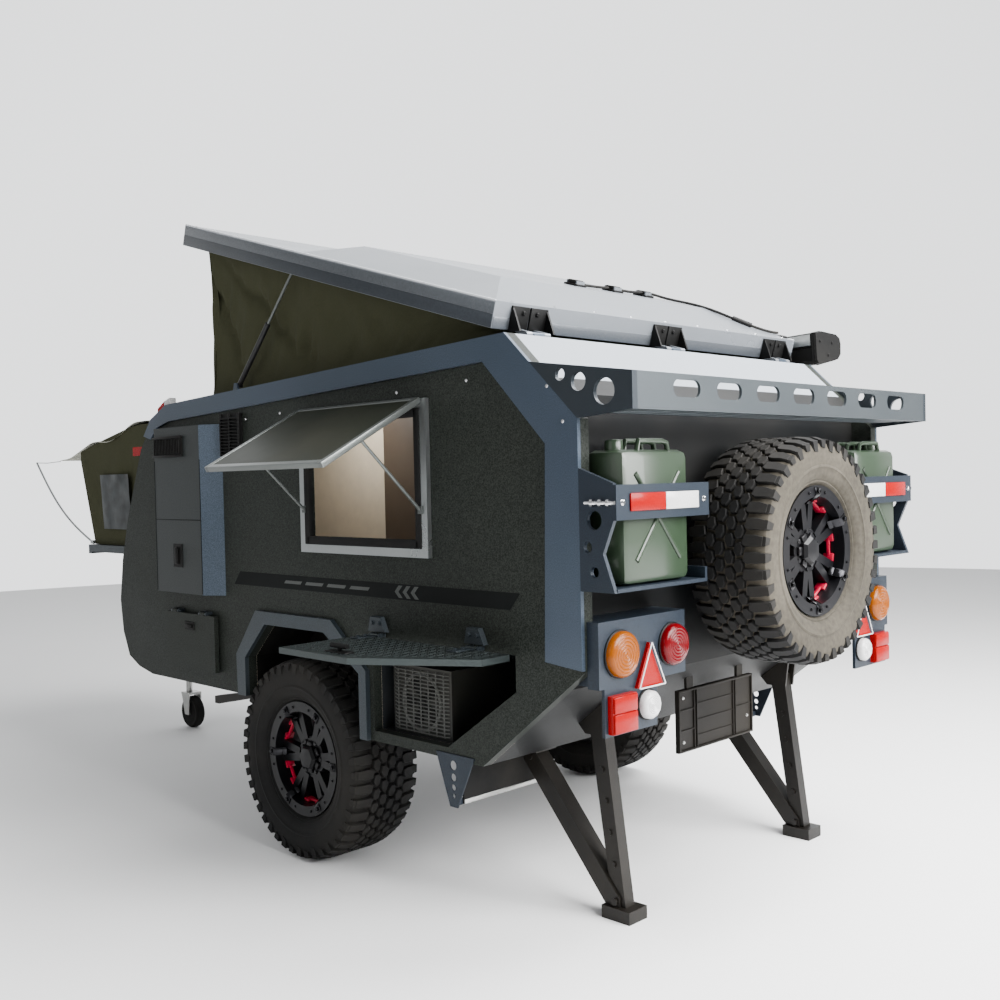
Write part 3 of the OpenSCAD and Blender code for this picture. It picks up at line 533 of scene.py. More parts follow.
for s in (-1, 1):
    for x, z in ((126, 1857), (60, 1740)):
        bolt(screws, (x, s * 1000, z), (0, s, 0), 5)
    for x in (520, 900, 1668, 1935):
        z = WALL_TOP[1] + (WALL_TOP[0] - x) * WALL_RISE - 52
        bolt(screws, (x, s * 985, z), (0, s, 0), 5)
piece("wall_screws", screws, chrome)
piece("side_bars", bars, stripe_pale)

# Left window: a pressed aluminium frame with a rubber seal and a tinted top-hung acrylic sash on two stays.
# The sash stands open; its edge is framed in aluminium, with two catches on its lower rail.
SASH = math.radians(62)
HANG = axes(
    (0, 1004, 1845), (1, 0, 0), (0, math.cos(SASH), math.sin(SASH)), (0, -math.sin(SASH), math.cos(SASH))
)
alloy = finish("alloy", (0.40, 0.42, 0.42), 0.32, metal=0.95, fleck=0.15, scale=120, grain=0.08, dust=0.04)
plastic = finish(
    "black_plastic", (0.004, 0.004, 0.004), 0.5, fleck=0.3, scale=600, grain=0.2, dust=0.02, shine=0.13
)
dress("window_frame", alloy, 0.004)
sash_grey = finish(
    "sash_grey", (0.11, 0.12, 0.115), 0.35, metal=0.6, fleck=0.2, scale=200, grain=0.1, dust=0.04
)
dress("window_stays", sash_grey, 0.001)
acrylic = finish(
    "acrylic", (0.012, 0.014, 0.009), 0.42, fleck=0.3, scale=120, grain=0.02, dust=0.08, shine=0.08
)
dress("window_sash", acrylic, 0.005)


def border(bm, low, high, wide, bevel, local=FLAT):
    """Four bars round an opening in the local x and z."""
    (x0, y0, z0), (x1, y1, z1) = low, high
    block(bm, (x0, y0, z0), (x0 + wide, y1, z1), bevel, local)
    block(bm, (x1 - wide, y0, z0), (x1, y1, z1), bevel, local)
    block(bm, (x0 + wide / 2, y0, z0), (x1 - wide / 2, y1, z0 + wide), bevel, local)
    block(bm, (x0 + wide / 2, y0, z1 - wide), (x1 - wide / 2, y1, z1), bevel, local)


sash_edge, seal = meshes(2)
border(sash_edge, (740, -2, -497), (1493, 20, 1), 24, 3, HANG)
piece("sash_edge", sash_edge, sash_grey)
for x in (930, 1300):
    block(seal, (x - 32, -14, -455), (x + 32, -1, -430), 3, HANG)
    tube(seal, [HANG @ Vector((x - 26, -16, -442)), HANG @ Vector((x + 26, -16, -442))], 6)
border(seal, (753, 984, 1311), (1480, 1008, 1827), 34, 5)
piece("window_seal", seal, rubber)

# Cabinet seen through the window: a plain block of pale board, brown towards the rear.
# It stands on the cabin floor between the wheel wells.
board = finish("cabinet_board", (0.075, 0.052, 0.034), 0.45, fleck=0.2, scale=20, grain=0.05)
dress("cabinet", part_tone(board, "X", -at(1460, 0, 0).x, (0.60, 0.51, 0.38)), 0.003)

# Service pod on the left wall with its air vent, and the small louvred vent behind it.
# The vents are black moulded plastic with separate slats; the pod has seams and a recessed handle.
POD = on_wall(0, 1045, 0)
dress("vents", plastic, 0.003)
slats, pod, handle = meshes(3)
for i in range(17):
    x = 2392 + i * 14.5
    block(slats, (x, 1050, 1708), (x + 6, 1059, 1780), 1.5)
for z in (1695, 1782):
    block(slats, (2376, 1052, z), (2644, 1060, z + 11), 3)
for i in range(12):
    tilt = axes((0, 1003, 1700 + i * 14.4), (1, 0, 0), (0, 0.8, -0.6), (0, 0.6, 0.8))
    block(slats, (1970, -5, -1.5), (2106, 9, 1.5), 1, tilt)
for x in (1958, 2032, 2106):
    block(slats, (x, 998, 1688), (x + 11, 1009, 1878), 3)
piece("vent_slats", slats, plastic)
filter_pad = bmesh.new()
block(filter_pad, (2388, 1044, 1711), (2632, 1050.5, 1779), 2)
filter_grey = finish(
    "filter_grey", (0.20, 0.20, 0.18), 0.8, fleck=1.2, scale=60, grain=0.3, dust=0.2, shine=0.2
)
piece("vent_filter", filter_pad, filter_grey)
for x in (2235, 2650):
    block(pod, (x - 2, 1043, 1064), (x + 2, 1046.2, 1680), 1)
block(pod, (2236, 1043, 1400), (2649, 1046.2, 1404), 1)
piece("pod_seams", pod, stripe_dark)
prism(handle, [(2405, 1180), (2485, 1180), (2485, 1290), (2405, 1290)], 0, 5, POD, 5)
block(handle, (2430, 1048, 1195), (2460, 1060, 1275), 5)
piece("pod_handle", handle, plastic)

# Side lockers. The left lid stands open as a shelf, in pressed plate with a raised diamond pattern;
# the shut right one matches it. Straps and a T-handle are bolted on.
STRAPS = (491, 1030)
lid_steel = finish(
    "lid_steel", (0.040, 0.050, 0.050), 0.38, metal=0.6, fleck=0.5, scale=500, grain=0.2, dust=0.06
)
dress("hatch_left", lid_steel, 0.002)
dress("hatch_right", body_paint, 0.003)
pattern, straps, grip = meshes(3)
for i in range(35):
    for j in range(17):
        x = 322 + i * 22 + (11 if j % 2 else 0)
        y = 1046 + j * 20.5
        if x > 1074 or y > 1392 or (y > 1155 and x < 340 + (y - 1155) * 1.52):
            continue
        s = 1 if (i + j) % 2 else -1
        spot = axes((x, y, 975.2), (0.8, 0.6 * s, 0), (-0.6 * s, 0.8, 0), (0, 0, 1))
        prism(pattern, [(-9.5, 0), (0, -3), (9.5, 0), (0, 3)], -0.4, 1.4, spot, 1.8)
piece("lid_pattern", pattern, lid_steel, "left_lid")
for x in STRAPS:
    block(straps, (x - 24, 1026, 974), (x + 24, 1112, 980), 2)
    for y in (1060, 1095):
        bolt(straps, (x, y, 980), (0, 0, 1), 7)
piece("lid_straps", straps, trim_paint, "left_lid")
plates = bmesh.new()
for x in STRAPS:
    prism(plates, [(x - 52, 988), (x + 52, 988), (x + 38, 1046), (x - 24, 1046)], 0, 21, WALL, 3)
    for dx in (-18, 22):
        bolt(plates, (x + dx, 1006, 1022), (0, 1, 0), 8)
piece("lid_wall_plates", plates, trim_paint)
block(grip, (740, 1330, 973), (860, 1372, 981), 3)
tube(grip, [(800, 1350, 978), (800, 1350, 996)], 8)
tube(grip, [(755, 1350, 998), (845, 1350, 998)], 9)
piece("lid_handle", grip, plastic, "left_lid")

# Condenser in the left locker: a dark metal box on the liner's floor, with its fan showing.
# A grey wire guard with a ring round the fan stands before it.
FAN = on_wall(865, 925, 728)
guard_grey = finish("guard_grey", (0.085, 0.088, 0.082), 0.4, metal=0.3, shine=0.3, fleck=0.2, scale=200,
                    grain=0.1, dust=0.12)
condenser_grey = finish(
    "condenser_grey", (0.020, 0.021, 0.019), 0.45, metal=0.3, shine=0.3, scale=200, dust=0.15
)
dress("condenser", condenser_grey, 0.004)
guard, blades = meshes(2)
for i in range(17):
    z = 616 + i * 14.2
    tube(guard, [(712, 927, z), (730, 936, z), (1000, 936, z), (1018, 927, z)], 2.4, 6)
for i in range(7):
    x = 735 + i * 43
    tube(guard, [(x, 930, 610), (x, 933, 622), (x, 933, 838), (x, 930, 850)], 2.6, 6)
turned(guard, [(112, 0), (112, 5), (104, 7), (100, 5), (100, 0.5)], FAN, 48)
piece("condenser_guard", guard, guard_grey)
solid(blades, [(22, 1), (22, 6), (10, 8)], FAN, 20)
for i in range(5):
    spin = FAN @ Matrix.Rotation(i * 2 * math.pi / 5, 4, "Z")
    prism(blades, [(18, -8), (60, -26), (94, -20), (96, 22), (55, 16), (18, 8)], 1, 4, spin, 1)
piece("condenser_fan", blades, plastic)

# Front locker door and the entry door on the right side, both in the wall's paint.
# Each has a folding lever lock; the entry door has a framed tinted pane.
dress("locker_door", body_paint, 0.003)
dress("entry_door", body_paint, 0.003)
latch, door_edge, pane, lever = meshes(4)
front = on_wall(2415, 1013, 905)
prism(latch, [(-42, -20), (42, -20), (42, 20), (-42, 20)], 0, 5, front, 3)
block(latch, (-30, -9, 4), (30, 9, 13), 3, front)
piece("locker_latch", latch, plastic, "locker_flap")
border(door_edge, (2176, -989, 1326), (2514, -940, 1744), 20, 4)
piece("door_window_edge", door_edge, plastic, "door")
block(pane, (2190, -972, 1340), (2500, -966, 1730), 2)
tinted_glass = finish(
    "tinted_glass", (0.02, 0.024, 0.022), 0.06, fleck=0.05, grain=0.0, dust=0.03, coat=0.4
)
piece("door_pane", pane, tinted_glass, "door")
door_face = axes((0, -985, 0), (1, 0, 0), (0, 0, 1), (0, -1, 0))
prism(lever, [(2085, 1140), (2140, 1140), (2140, 1260), (2085, 1260)], 0, 6, door_face, 5)
block(lever, (2096, -1004, 1190), (2172, -988, 1212), 5)
piece("door_lever", lever, plastic, "door")

# Rear rack: a folded tray with slotted rear face and pierced cheeks, bolted to the body's sloping back.
# It is painted in grey metallic; the outside of the cheeks is darker, as painted shade on the side away from
# the light.
rack_paint_and_cheek_shade = finish(
    "rack_paint_and_cheek_shade", (0.044, 0.053, 0.059), 0.38, metal=0.5, fleck=0.9, scale=900, grain=0.35, dust=0.03
)
# The darker tone where |y| is above 0.975 is painted shade on the cheeks' outer faces.
dress("rear_rack", part_tone(rack_paint_and_cheek_shade, "Y", 0.975, (0.016, 0.022, 0.028), inside=False), 0.002)

# Jerry cans in their side holders: pressed steel in green with a ribbed cross, three handles and a cap.
# A bar across the holder keeps each can in; it carries a red and white reflector and a bright latch.
can_green = finish("can_green", (0.017, 0.030, 0.016), 0.34, fleck=0.2, scale=200, grain=0.1, dust=0.05,
                   coat=0.15, shine=0.35)
for node in ("can_holders", "can_bars", "light_boxes"):
    dress(node, navy_paint, 0.002)
cans = bmesh.new()
for s in (-1, 1):
    side = axes((0, s * 750, 0), (1, 0, 0), (0, s, 0), (0, 0, 1))
    block(cans, (-120, -175, 1213), (45, 175, 1645), 28, side)
    for x in (-119, 44):
        for k in (-1, 1):
            cross = [side @ Vector((x, -115 * k, 1290)), side @ Vector((x, 0, 1430)),
                     side @ Vector((x, 115 * k, 1570))]
            tube(cans, cross, 9)
    for x in (-92, -38, 16):
        loop = [(x, -95, 1640), (x, -88, 1668), (x, -60, 1674), (x, 60, 1674), (x, 70, 1640)]
        tube(cans, [side @ Vector(p) for p in loop], 9)
    solid(cans, [(30, 1640), (30, 1672), (26, 1678)], side @ Matrix.Translation((-38, 118, 0)), 24)
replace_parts(piece("ribbed_cans", cans, can_green), "jerry_cans")


def lens_plastic(name, colour, rough=0.2, fleck=0.3, coat=0.08, shine=0.15):
    """Moulded lens with a fine grain."""
    return finish(name, colour, rough, fleck=fleck, scale=160, grain=0.4, dust=0.0, coat=coat, shine=shine)


red_lens = lens_plastic("red_lens", (0.085, 0.0, 0.002))
bright_red = lens_plastic("bright_red", (0.22, 0.0, 0.001), 0.22, shine=0.1)
clear_lens = lens_plastic("clear_lens", (0.50, 0.50, 0.50), 0.16, fleck=0.5, coat=0.2, shine=0.5)
amber_lens = lens_plastic("amber_lens", (0.17, 0.040, 0.0))
red_marks, white_marks, latches = meshes(3)
for s in (-1, 1):
    back = axes((-152, s * 755, 1480), (0, s, 0), (0, 0, 1), (-1, 0, 0))
    block(red_marks, (0, -28, 0), (180, 28, 7), 3, back)
    block(white_marks, (-180, -28, 0), (-1, 28, 7), 3, back)
    for y in (-215, 215):
        bolt(latches, back @ Vector((y, 0, 0)), (-1, 0, 0), 8)
    tube(latches, [(-150, s * 1006, 1480), (-30, s * 1006, 1480)], 6)
    for x in (-128, -96, -62):
        ring = axes((x, s * 1006, 1480), (0, 1, 0), (0, 0, 1), (1, 0, 0))
        solid(latches, [(13, -5), (13, 5)], ring, 16)
piece("bar_reflectors_red", red_marks, bright_red)
piece("bar_reflectors_white", white_marks, clear_lens)
piece("bar_latches", latches, chrome)

# Lamps: round amber and red lenses in black bezels, a warning triangle with a white edge,
# a square tail lamp and a round reversing lamp, all moulded plastic on the painted light boxes.
LENSES = {"amber": amber_lens, "red": red_lens, "white": clear_lens}
# lens, y, z and radius of the round lamps on one side
ROUND_LAMPS = [("amber", 872, 990, 72), ("red", 595, 990, 67), ("white", 735, 807, 45)]
TRIANGLE = [(660, 868), (798, 868), (729, 1012)]
domes = {key: bmesh.new() for key in LENSES}
edges, bezels, tails = meshes(3)
for s in (-1, 1):
    for key, y, z, r in ROUND_LAMPS:
        seat = axes((-70, s * y, z), (0, 1, 0), (0, 0, 1), (-1, 0, 0))
        profile = [(r + 3, -18), (r + 3, -4), (r - 1, 4), (r - 8, 9)]
        for k in range(5):
            edge = (r - 12) * (1 - k / 5)
            profile += [(edge, 10), (edge - 4, 8), (edge - 7, 10)]
        solid(domes[key], profile, seat, 12 if key == "white" else 48)
        turned(bezels, [(r + 3, -22), (r + 7, -22), (r + 7, -17), (r + 3, -15)], seat, 48)
    tail = axes((-70, s * 875, 801), (0, s, 0), (0, 0, 1), (-1, 0, 0))
    block(tails, (-58, -59, -1), (58, 3, 7), 4, tail)
    block(tails, (-58, 6, -1), (58, 59, 7), 4, tail)
    for (y0, z0), (y1, z1) in zip(TRIANGLE, TRIANGLE[1:] + TRIANGLE[:1]):
        run = Vector((0, s * (y1 - y0), z1 - z0))
        reach = run.length
        run.normalize()
        along = axes((-70, s * y0, z0), run, Vector((-1, 0, 0)).cross(run), (-1, 0, 0))
        block(edges, (0, -2.4, -1), (reach, 2.4, 1.2), 0.8, along)
for key, lens in LENSES.items():
    dress(key + "_lamps", bright_red if key == "red" else lens, 0.003)
    piece(key + "_lenses", domes[key], lens)
piece("tail_lenses", tails, bright_red)
piece("lamp_bezels", bezels, plastic)
piece("triangle_edges", edges, clear_lens)

# Number-plate board: dark moulded plastic, fixed with small screws and left blank.
# It has a raised rim and cells of ribs.
BOARD = axes((185, 0, 0), (0, -1, 0), (-1, 0, 0), (0, 0, 1))
board_plastic = finish(
    "board_plastic", (0.006, 0.005, 0.004), 0.55, fleck=0.4, scale=60, grain=0.2, dust=0.07, shine=0.12
)
dress("plate_holder", board_plastic, 0.002)
ribs, screws = meshes(2)
border(ribs, (-250, -1, 511), (250, 8, 748), 9, 3, BOARD)
for x in (-152, -134, 112, 128):
    block(ribs, (x, -1, 516), (x + 5, 6, 744), 2, BOARD)
for z in (590, 668):
    block(ribs, (-246, -1, z), (-150, 5, z + 5), 2, BOARD)
for z in (560, 620, 682):
    block(ribs, (-130, -1, z), (114, 3, z + 4), 1.5, BOARD)
block(ribs, (130, -1, 628), (246, 4, 632), 1.5, BOARD)
piece("plate_ribs", ribs, board_plastic)
for x, z in ((-215, 716), (-215, 548), (215, 582)):
    bolt(screws, BOARD @ Vector((x, 0, z)), (-1, 0, 0), 5)
piece("plate_screws", screws, zinc)

# Stabiliser legs: dark square steel tube, let down at the rear and folded up under the front of the sill.
# Pins and pivots run across them.
LEG_Y = 604
leg_steel = finish("leg_steel", (0.006, 0.005, 0.004), 0.42, metal=0.2, shine=0.25, fleck=0.6, scale=120,
                   grain=0.3, dust=0.08)
dress("stabiliser_legs", leg_steel, 0.003)
pegs = bmesh.new()
for s in (-1, 1):
    for x, z in ((265, 668), (241, 520), (226, 410), (211, 300), (196, 190)):
        tube(pegs, [(x, s * LEG_Y - 31, z), (x, s * LEG_Y + 31, z)], 11, 16)
    for x, z in ((585, 514), (185, 62)):
        tube(pegs, [(x, s * LEG_Y - 42, z), (x, s * LEG_Y + 42, z)], 13, 16)
piece("leg_pegs", pegs, leg_steel)

# Roof lid: pressed metal with a raised middle, pale grey, on three black two-leaf hinges at the rear.
# Screws run along its upper edge; three black feet stand on top and a cable gland near the rear corner.
# Two painted bands run along its sides, and a bead whose pale colour is a painted highlight along the upper
# edge.
ROOF_UP = math.radians(16.7)
ROOF_HINGE = (350, 0, 2059.6)


def pitched(place, angle):
    """A local frame tipped up at its front."""
    c, s = math.cos(angle), math.sin(angle)
    return axes(place, (c, 0, s), (0, 1, 0), (-s, 0, c))


ROOF = pitched(ROOF_HINGE, ROOF_UP)
HINGES = (-800, 0, 800)
roof_paint = finish("roof_paint", (0.215, 0.233, 0.256), 0.32, metal=0.5, fleck=0.8, scale=900, grain=0.25,
                    dust=0.03, coat=0.1)
dress("roof_lid", roof_paint, 0.005)
studs, leaves, feet = meshes(3)
up = ROOF.to_3x3() @ Vector((0, 0, 1))
back = ROOF.to_3x3() @ Vector((-1, 0, 0))
for i in range(12):
    for y in (955, -955):
        bolt(studs, ROOF @ Vector((110 + i * 183, y, 95)), up, 6)
for i in range(9):
    bolt(studs, ROOF @ Vector((75, -880 + i * 220, 95)), up, 6)
piece("roof_screws", studs, chrome, "roof")
band_grey = flake_paint("band_grey", (0.030, 0.036, 0.044), 0.4, 0.5, fleck=1.5)
lid_side = flake_paint("lid_side", (0.085, 0.094, 0.105), 0.36, 0.5, fleck=1.5)
# Pale paint for the bead: a painted highlight along the lid's upper edge.
bead_painted_highlight = finish(
    "bead_painted_highlight", (0.62, 0.64, 0.67), 0.3, metal=0.3, fleck=0.4, scale=330, grain=0.1, dust=0.02
)
lower, upper, bead = meshes(3)
for s in (-1, 1):
    side_block(lower, s, (62, 967, 1), (2199, 971.5, 48), 1.2, ROOF)
    side_block(upper, s, (62, 967, 48.5), (2199, 971, 88), 1.2, ROOF)
    tube(bead, [ROOF @ Vector(p) for p in ((64, s * 966, 94), (2197, s * 966, 94))], 5)
block(lower, (2197.5, -968, 1), (2201.5, 968, 44), 1.2, ROOF)
block(upper, (58, -968, 1), (62, 968, 40), 1.2, ROOF)
piece("lid_lower_band", lower, band_grey, "roof")
piece("lid_upper_band", upper, lid_side, "roof")
piece("lid_edge_bead", bead, bead_painted_highlight, "roof")
for y in HINGES:
    hinge = ROOF @ Matrix.Translation((0, y, 0))
    for s in (-1, 1):
        side_block(leaves, s, (51, 4, -4), (60, 90, 86), 2, hinge)
        bolt(leaves, ROOF @ Vector((51, y + s * 34, 64)), back, 8)
        prism(leaves, [(0, 8), (52, -4), (52, 80)], s * 86 - 4, s * 86 + 4, hinge @ on_wall(0, 0, 0))
piece("roof_hinge_leaves", leaves, plastic, "roof")
for y in (45, -205, -425):
    block(feet, (512, y - 33, 164), (588, y + 33, 174), 4, ROOF)
    block(feet, (524, y - 27, 172), (576, y + 27, 190), 6, ROOF)
gland = ROOF @ Matrix.Translation((110, -915, 0))
turned(feet, [(30, 96), (38, 97), (40, 103), (34, 107), (28, 103), (30, 96)], gland, 24)
piece("roof_feet", feet, plastic, "roof")

# Lead on the lid: black cable that leaves the first foot, passes under the others, and lies on the metal
# down to the gland, with one joining sleeve on it.
LEAD = 6.0
# x and y on the lid, from the first foot to the gland
COURSE = [(550, 10), (556, -110), (552, -205), (556, -315), (545, -425), (500, -490), (425, -545),
          (335, -600), (245, -655),
          (168, -715), (120, -780), (104, -840), (108, -890)]
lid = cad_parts["roof_lid"]
lead = []
for k in range(37):
    (x0, y0), (x1, y1) = COURSE[k // 3], COURSE[min(k // 3 + 1, len(COURSE) - 1)]
    t = (k % 3) / 3
    high = ROOF @ Vector((x0 + (x1 - x0) * t, y0 + (y1 - y0) * t, 400))
    spot = lid.ray_cast(at(*high), -up)[1]
    lead.append(high - up * ((spot - at(*high)).length * 1000 - LEAD - 2))
for _ in range(4):
    lead = lead[:1] + [(a + b + c) / 3 for a, b, c in zip(lead, lead[1:], lead[2:])] + lead[-1:]
cable, sleeve = meshes(2)
tube(cable, lead, LEAD, 12)
tube(sleeve, lead[25:29], 12, 16)
made = piece("roof_lead", cable, rubber, "roof")
joint = piece("lead_sleeve", sleeve, plastic, "roof")
reach = sum((b - a).length for a, b in zip(lead, lead[1:])) / 1000

# Awning cassette along the top of the right wall: a black aluminium case with a bright upper panel
# towards the roof, moulded ends, and plates that bolt it to the side frame.
DECK_FALL = 0.044
AWNING = pitched((300, -1015, 2051.8), -math.atan(DECK_FALL))
AWNING_LEN = 2200
AWNING_END = [(2, 22), (2, 150), (-69, 163), (-197, 157), (-231, 140), (-240, 112), (-235, 60), (-207, 33),
              (-40, 0), (-12, 3)]
dress("awning_case", plastic, 0.006)
panel, ends = meshes(2)
block(panel, (20, -1, 92), (AWNING_LEN - 20, 3, 144), 2, AWNING)
block(panel, (20, -239, 96), (AWNING_LEN - 20, -233, 118), 2, AWNING)
piece("awning_panel", panel, alloy)
for x0, x1 in ((14, -7), (AWNING_LEN - 14, AWNING_LEN + 7)):
    prism(ends, AWNING_END, x0, x1, AWNING @ axes((0, 0, 0), (0, 1, 0), (0, 0, 1), (1, 0, 0)), 7)
    for y, z in ((-40, 110), (-150, 110), (-110, 50)):
        bolt(ends, AWNING @ Vector((x1, y, z)), AWNING.to_3x3() @ Vector((x1 - x0, 0, 0)), 6)
piece("awning_ends", ends, plastic)

# Gas struts: black painted barrels that turn on the deck's brackets,
# with plated rods that slide out of them to the lid.
for side in ("left", "right"):
    dress("strut_barrel_" + side, black_steel, 0.001)
    dress("strut_rod_" + side, sash_grey)

# Roof canvas: one wall of dark olive canvas round three sides of the opening, slack between lid and deck.
# It hangs from the lid's inside down to the deck.
CLOTH_REAR, CLOTH_FRONT, CLOTH_LEFT, CLOTH_RIGHT = 470.0, 2402.0, 878.0, -878.0
ACROSS, DOWN, SLACK = 330, 40, 44.0
# how far the cloth reaches up into the lid, x and z of the deck's rear edge, and where the creases run from
TUCK = 22.0
DECK_REAR = (318, 2051)
CREASES_FROM = (2620, 2900)
canvas = finish(
    "canvas", (0.042, 0.043, 0.024), 0.92, fleck=0.9, scale=420, grain=0.6, dust=0.03, shine=0.1
)


def cloth(bm, across, down, spot):
    """A grid of faces; spot gives each point from its share of the way across and down."""
    grid = [[bm.verts.new(spot(i / across, j / down)) for j in range(down + 1)] for i in range(across + 1)]
    for a, b in zip(grid, grid[1:]):
        for j in range(down):
            bm.faces.new((a[j], b[j], b[j + 1], a[j + 1]))


corners = ((CLOTH_REAR, CLOTH_LEFT), (CLOTH_FRONT, CLOTH_LEFT), (CLOTH_FRONT, CLOTH_RIGHT),
           (CLOTH_REAR, CLOTH_RIGHT))
route = [Vector(p) for p in corners]
ends = [0.0]
for a, b in zip(route, route[1:]):
    ends.append(ends[-1] + (b - a).length)


def roof_cloth_spot(u, d):
    """A point on the hanging cloth, with creases that fan out from beyond the lid's front corner."""
    t = ends[-1] * u
    k = max(j for j in range(len(route) - 1) if ends[j] <= t + 1e-6)
    ahead = (route[k + 1] - route[k]).normalized()
    p = route[k] + ahead * (t - ends[k])
    inward = Vector((ahead.y, -ahead.x))
    top = ROOF_HINGE[2] + (p.x - ROOF_HINGE[0]) * math.tan(ROOF_UP) + TUCK
    foot = DECK_REAR[1] - (p.x - DECK_REAR[0]) * DECK_FALL
    z = top + (foot - top) * d
    fold = noise.noise(Vector((t / 150 + d * 2.2, d * 0.8, 3)))
    fold += 0.7 * noise.noise(Vector((t / 60 - d * 3.5, d * 1.5, 9)))
    pull = t / 400 if k == 1 else math.atan2(CREASES_FROM[1] - z, CREASES_FROM[0] - p.x)
    crease = (1 - abs(math.sin(pull * 9 + 0.5 * fold))) ** 3
    off = inward * (SLACK * math.sin(math.pi * d) ** 0.7 * (0.5 + 0.45 * fold + 0.9 * crease))
    return p.x + off.x, p.y + off.y, z


roof_cloth = bmesh.new()
cloth(roof_cloth, ACROSS, DOWN, roof_cloth_spot)
made = piece("roof_cloth", roof_cloth, canvas, "trailer", 70)
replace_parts(made, "roof_canvas")
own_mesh(made)

# Bed platform and front tent. The platform folds out of the nose; the tent's canvas stands on it,
# with clear side windows, and a fly sheet reaches forward to two bent rods that spring from the platform.
TENT_HALF = 828.0
TENT_FOOT, TENT_EAVE = 1242.0, 1711.0
FRONT_TOP = 1748.0
# x and z of the front wall's foot, its lean, and the length of the side walls' upper edge
FRONT_FOOT, FRONT_LEAN = (3790, 1240), 0.3376
EAVE_RUN = 1044.0
FLY_DROOP, FLY_SAG, FLY_SCOOP = 34, 14, 60
# x and z of the rods' feet and tips
POLE_FOOT, POLE_TIP = (3805, 1246), (4550, 1719)
# x and z of the fly's line, and of the tent's rear edge
FLY = [(2905, 1876), (3020, 1908), (3146, 1916), (3380, 1888), (3647, 1841), (3949, 1780), (4216, 1720)]
REAR_EDGE = [(1240, 3170), (1392, 3075), (1770, 2912), (1900, 2900)]
dress("bed_platform", trim_paint, 0.003)


def along(line, x):
    """The line's second value at x, straight between its points."""
    for (x0, z0), (x1, z1) in zip(line, line[1:]):
        if x <= x1:
            return z0 + (z1 - z0) * (x - x0) / (x1 - x0)
    return line[-1][1]


def tent_front(z):
    """How far forward the front wall stands at a height."""
    return FRONT_FOOT[0] + (min(z, TENT_EAVE) - FRONT_FOOT[1]) * FRONT_LEAN


def fold_bed(made):
    """Gives the piece a mesh of its own."""
    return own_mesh(made)


def tent_side_spot(s, u, d):
    """A point on a side wall, drawn in between its edges."""
    eave = min(along(FLY, along(REAR_EDGE, 1800) + EAVE_RUN * u) - 14, 1890)
    z = TENT_FOOT + (eave - TENT_FOOT) * d
    x = along(REAR_EDGE, z) + (tent_front(z) - along(REAR_EDGE, z)) * u
    pull = math.sin(math.pi * u) * math.sin(math.pi * (0.1 + 0.9 * d))
    fold = noise.noise(Vector((x / 210 + d, d * 2.0, 5 * s)))
    fold += 0.4 * noise.noise(Vector((x / 70 - d * 2, d * 4, 2)))
    return x, s * (TENT_HALF - 10 - 18 * pull * (0.6 + fold)), z


def tent_front_spot(u, d):
    """A point on the front wall."""
    y = (TENT_HALF - 10) * (2 * u - 1)
    z = TENT_FOOT + (FRONT_TOP - TENT_FOOT) * d
    bow = math.sin(math.pi * d)
    fold = abs(noise.noise(Vector((y / 190, d * 2.2, 4)))) * bow
    return tent_front(z) - 10 * fold - 12 * bow, y, z


tent_walls = bmesh.new()
for s in (-1, 1):
    cloth(tent_walls, 40, 30, lambda u, d: tent_side_spot(s, u, d))
cloth(tent_walls, 48, 24, tent_front_spot)
made = piece("tent_walls", tent_walls, canvas, "trailer", 70)
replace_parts(made, "tent")
fold_bed(made)


def fly_spot(u, d):
    """A point on the fly sheet: it sags in the middle, droops at its sides and is scooped at the front."""
    x = FLY[0][0] + (FLY[-1][0] - FLY[0][0]) * u
    v = 2 * d - 1
    edge = max(0.0, abs(v) - 0.86) / 0.14
    droop = FLY_DROOP * edge ** 2 * (0.7 + 0.6 * math.sin(x / 90)) * math.sin(math.pi * u)
    sag = FLY_SAG * math.cos(v * math.pi / 2) * math.sin(math.pi * u) + 6 * noise.noise(
        Vector((x / 160, v * 3, 7))
    )
    scoop = FLY_SCOOP * math.sqrt(1 - abs(v)) * max(0.0, u - 0.7) / 0.3
    return x - scoop, v * TENT_HALF, along(FLY, x) - sag - droop


fly_cloth = bmesh.new()
cloth(fly_cloth, 60, 48, fly_spot)
fly_canvas = finish("fly_canvas", (0.44, 0.44, 0.37), 0.85, fleck=0.5, scale=420, grain=0.5, dust=0.02)
made = piece("tent_fly", fly_cloth, fly_canvas, "trailer", 70)
fold_bed(made)


def tent_window_spot(s, u, d):
    """A point on a side window, just outside the wall."""
    ripple = 4 * noise.noise(Vector((u * 4, d * 4, 1)))
    return 3330 + 330 * u + 36 * d, s * (TENT_HALF - 2 + ripple), 1330 + 300 * d


panes = bmesh.new()
for s in (-1, 1):
    cloth(panes, 12, 12, lambda u, d: tent_window_spot(s, u, d))
window_film = finish(
    "window_film", (0.016, 0.020, 0.021), 0.3, fleck=3.5, scale=16, grain=0.2, dust=0.0, shine=0.3
)
made = piece("tent_windows", panes, window_film, "trailer", 70)
fold_bed(made)

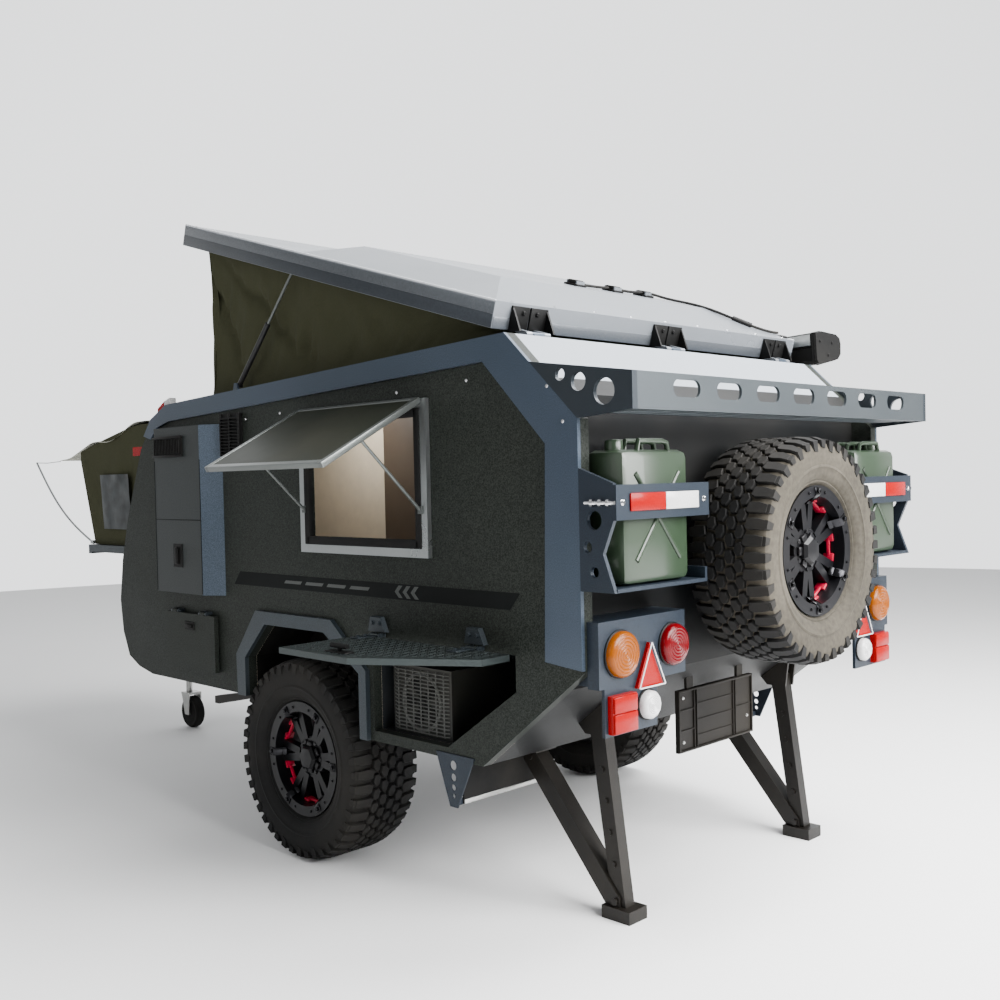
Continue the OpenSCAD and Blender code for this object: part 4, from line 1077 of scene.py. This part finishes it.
poles = bmesh.new()
for s in (-1, 1):
    y = s * 822
    line = []
    for k in range(21):
        t = k / 20
        bow = 60 * math.sin(math.pi * t)
        x = POLE_FOOT[0] + (POLE_TIP[0] - POLE_FOOT[0]) * t + bow * 0.5
        z = POLE_FOOT[1] + (POLE_TIP[1] - POLE_FOOT[1]) * t - bow * 0.85
        line.append((x, y, z))
    tube(poles, line, 6)
    tube(poles, [(POLE_TIP[0], y, POLE_TIP[1]), (4400, y, 1714), (4214, y, 1719)], 2.5, 8)
    block(poles, (3788, y - 14, 1243), (3822, y + 14, 1263), 4)
made = piece("tent_poles", poles, alloy)
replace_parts(made, "tent_rods")
fold_bed(made)

# Pale floor and soft studio light, with a bright backdrop behind the trailer as the camera sees it.
bpy.ops.object.select_all(action="DESELECT")
bpy.ops.mesh.primitive_circle_add(vertices=128, radius=14, fill_type="NGON", location=at(1500, 0, 0))
floor = bpy.context.object
floor.name = "floor"
floor.data.materials.append(
    finish("floor_white", (0.86, 0.86, 0.86), 0.7, fleck=0.02, scale=4, grain=0.0, dust=0.0)
)
world = bpy.data.worlds.new("studio")
bpy.context.scene.world = world
world.use_nodes = True
tree = world.node_tree
backdrop = tree.nodes["Background"]
backdrop.inputs["Color"].default_value = (0.97, 0.985, 1.0, 1)
direction = tree.nodes.new("ShaderNodeTexCoord")
facing = tree.nodes.new("ShaderNodeVectorMath")
fade = tree.nodes.new("ShaderNodeMapRange")
facing.operation = "DOT_PRODUCT"
facing.inputs[1].default_value = look
fade.inputs["From Min"].default_value, fade.inputs["From Max"].default_value = 0.2, 0.9
fade.inputs["To Min"].default_value, fade.inputs["To Max"].default_value = 0.42, 2.2
tree.links.new(direction.outputs["Generated"], facing.inputs[0])
tree.links.new(facing.outputs["Value"], fade.inputs["Value"])
tree.links.new(fade.outputs["Result"], backdrop.inputs["Strength"])
# name, place, aim, size in metres, power in watts
LIGHTS = [
    ("key", (-5600, 300, 5000), (900, 0, 1400), 4.0, 1600),
    ("side", (1000, 7500, 4200), (1500, 900, 1200), 5.0, 110),
    ("rear", (-5500, -2500, 3600), (0, 0, 1300), 3.0, 750),
    ("top", (-1200, -1800, 5800), (700, 0, 1900), 3.5, 950),
    ("cabin", (1500, 860, 1890), (1620, 640, 1500), 0.3, 3),
]
for name, place, aim, size, power in LIGHTS:
    lamp = bpy.data.objects.new(name, bpy.data.lights.new(name, "AREA"))
    lamp.data.size = size
    lamp.data.energy = power
    lamp.location = at(*place)
    lamp.rotation_euler = (at(*aim) - at(*place)).to_track_quat("-Z", "Y").to_euler()
    bpy.context.collection.objects.link(lamp)
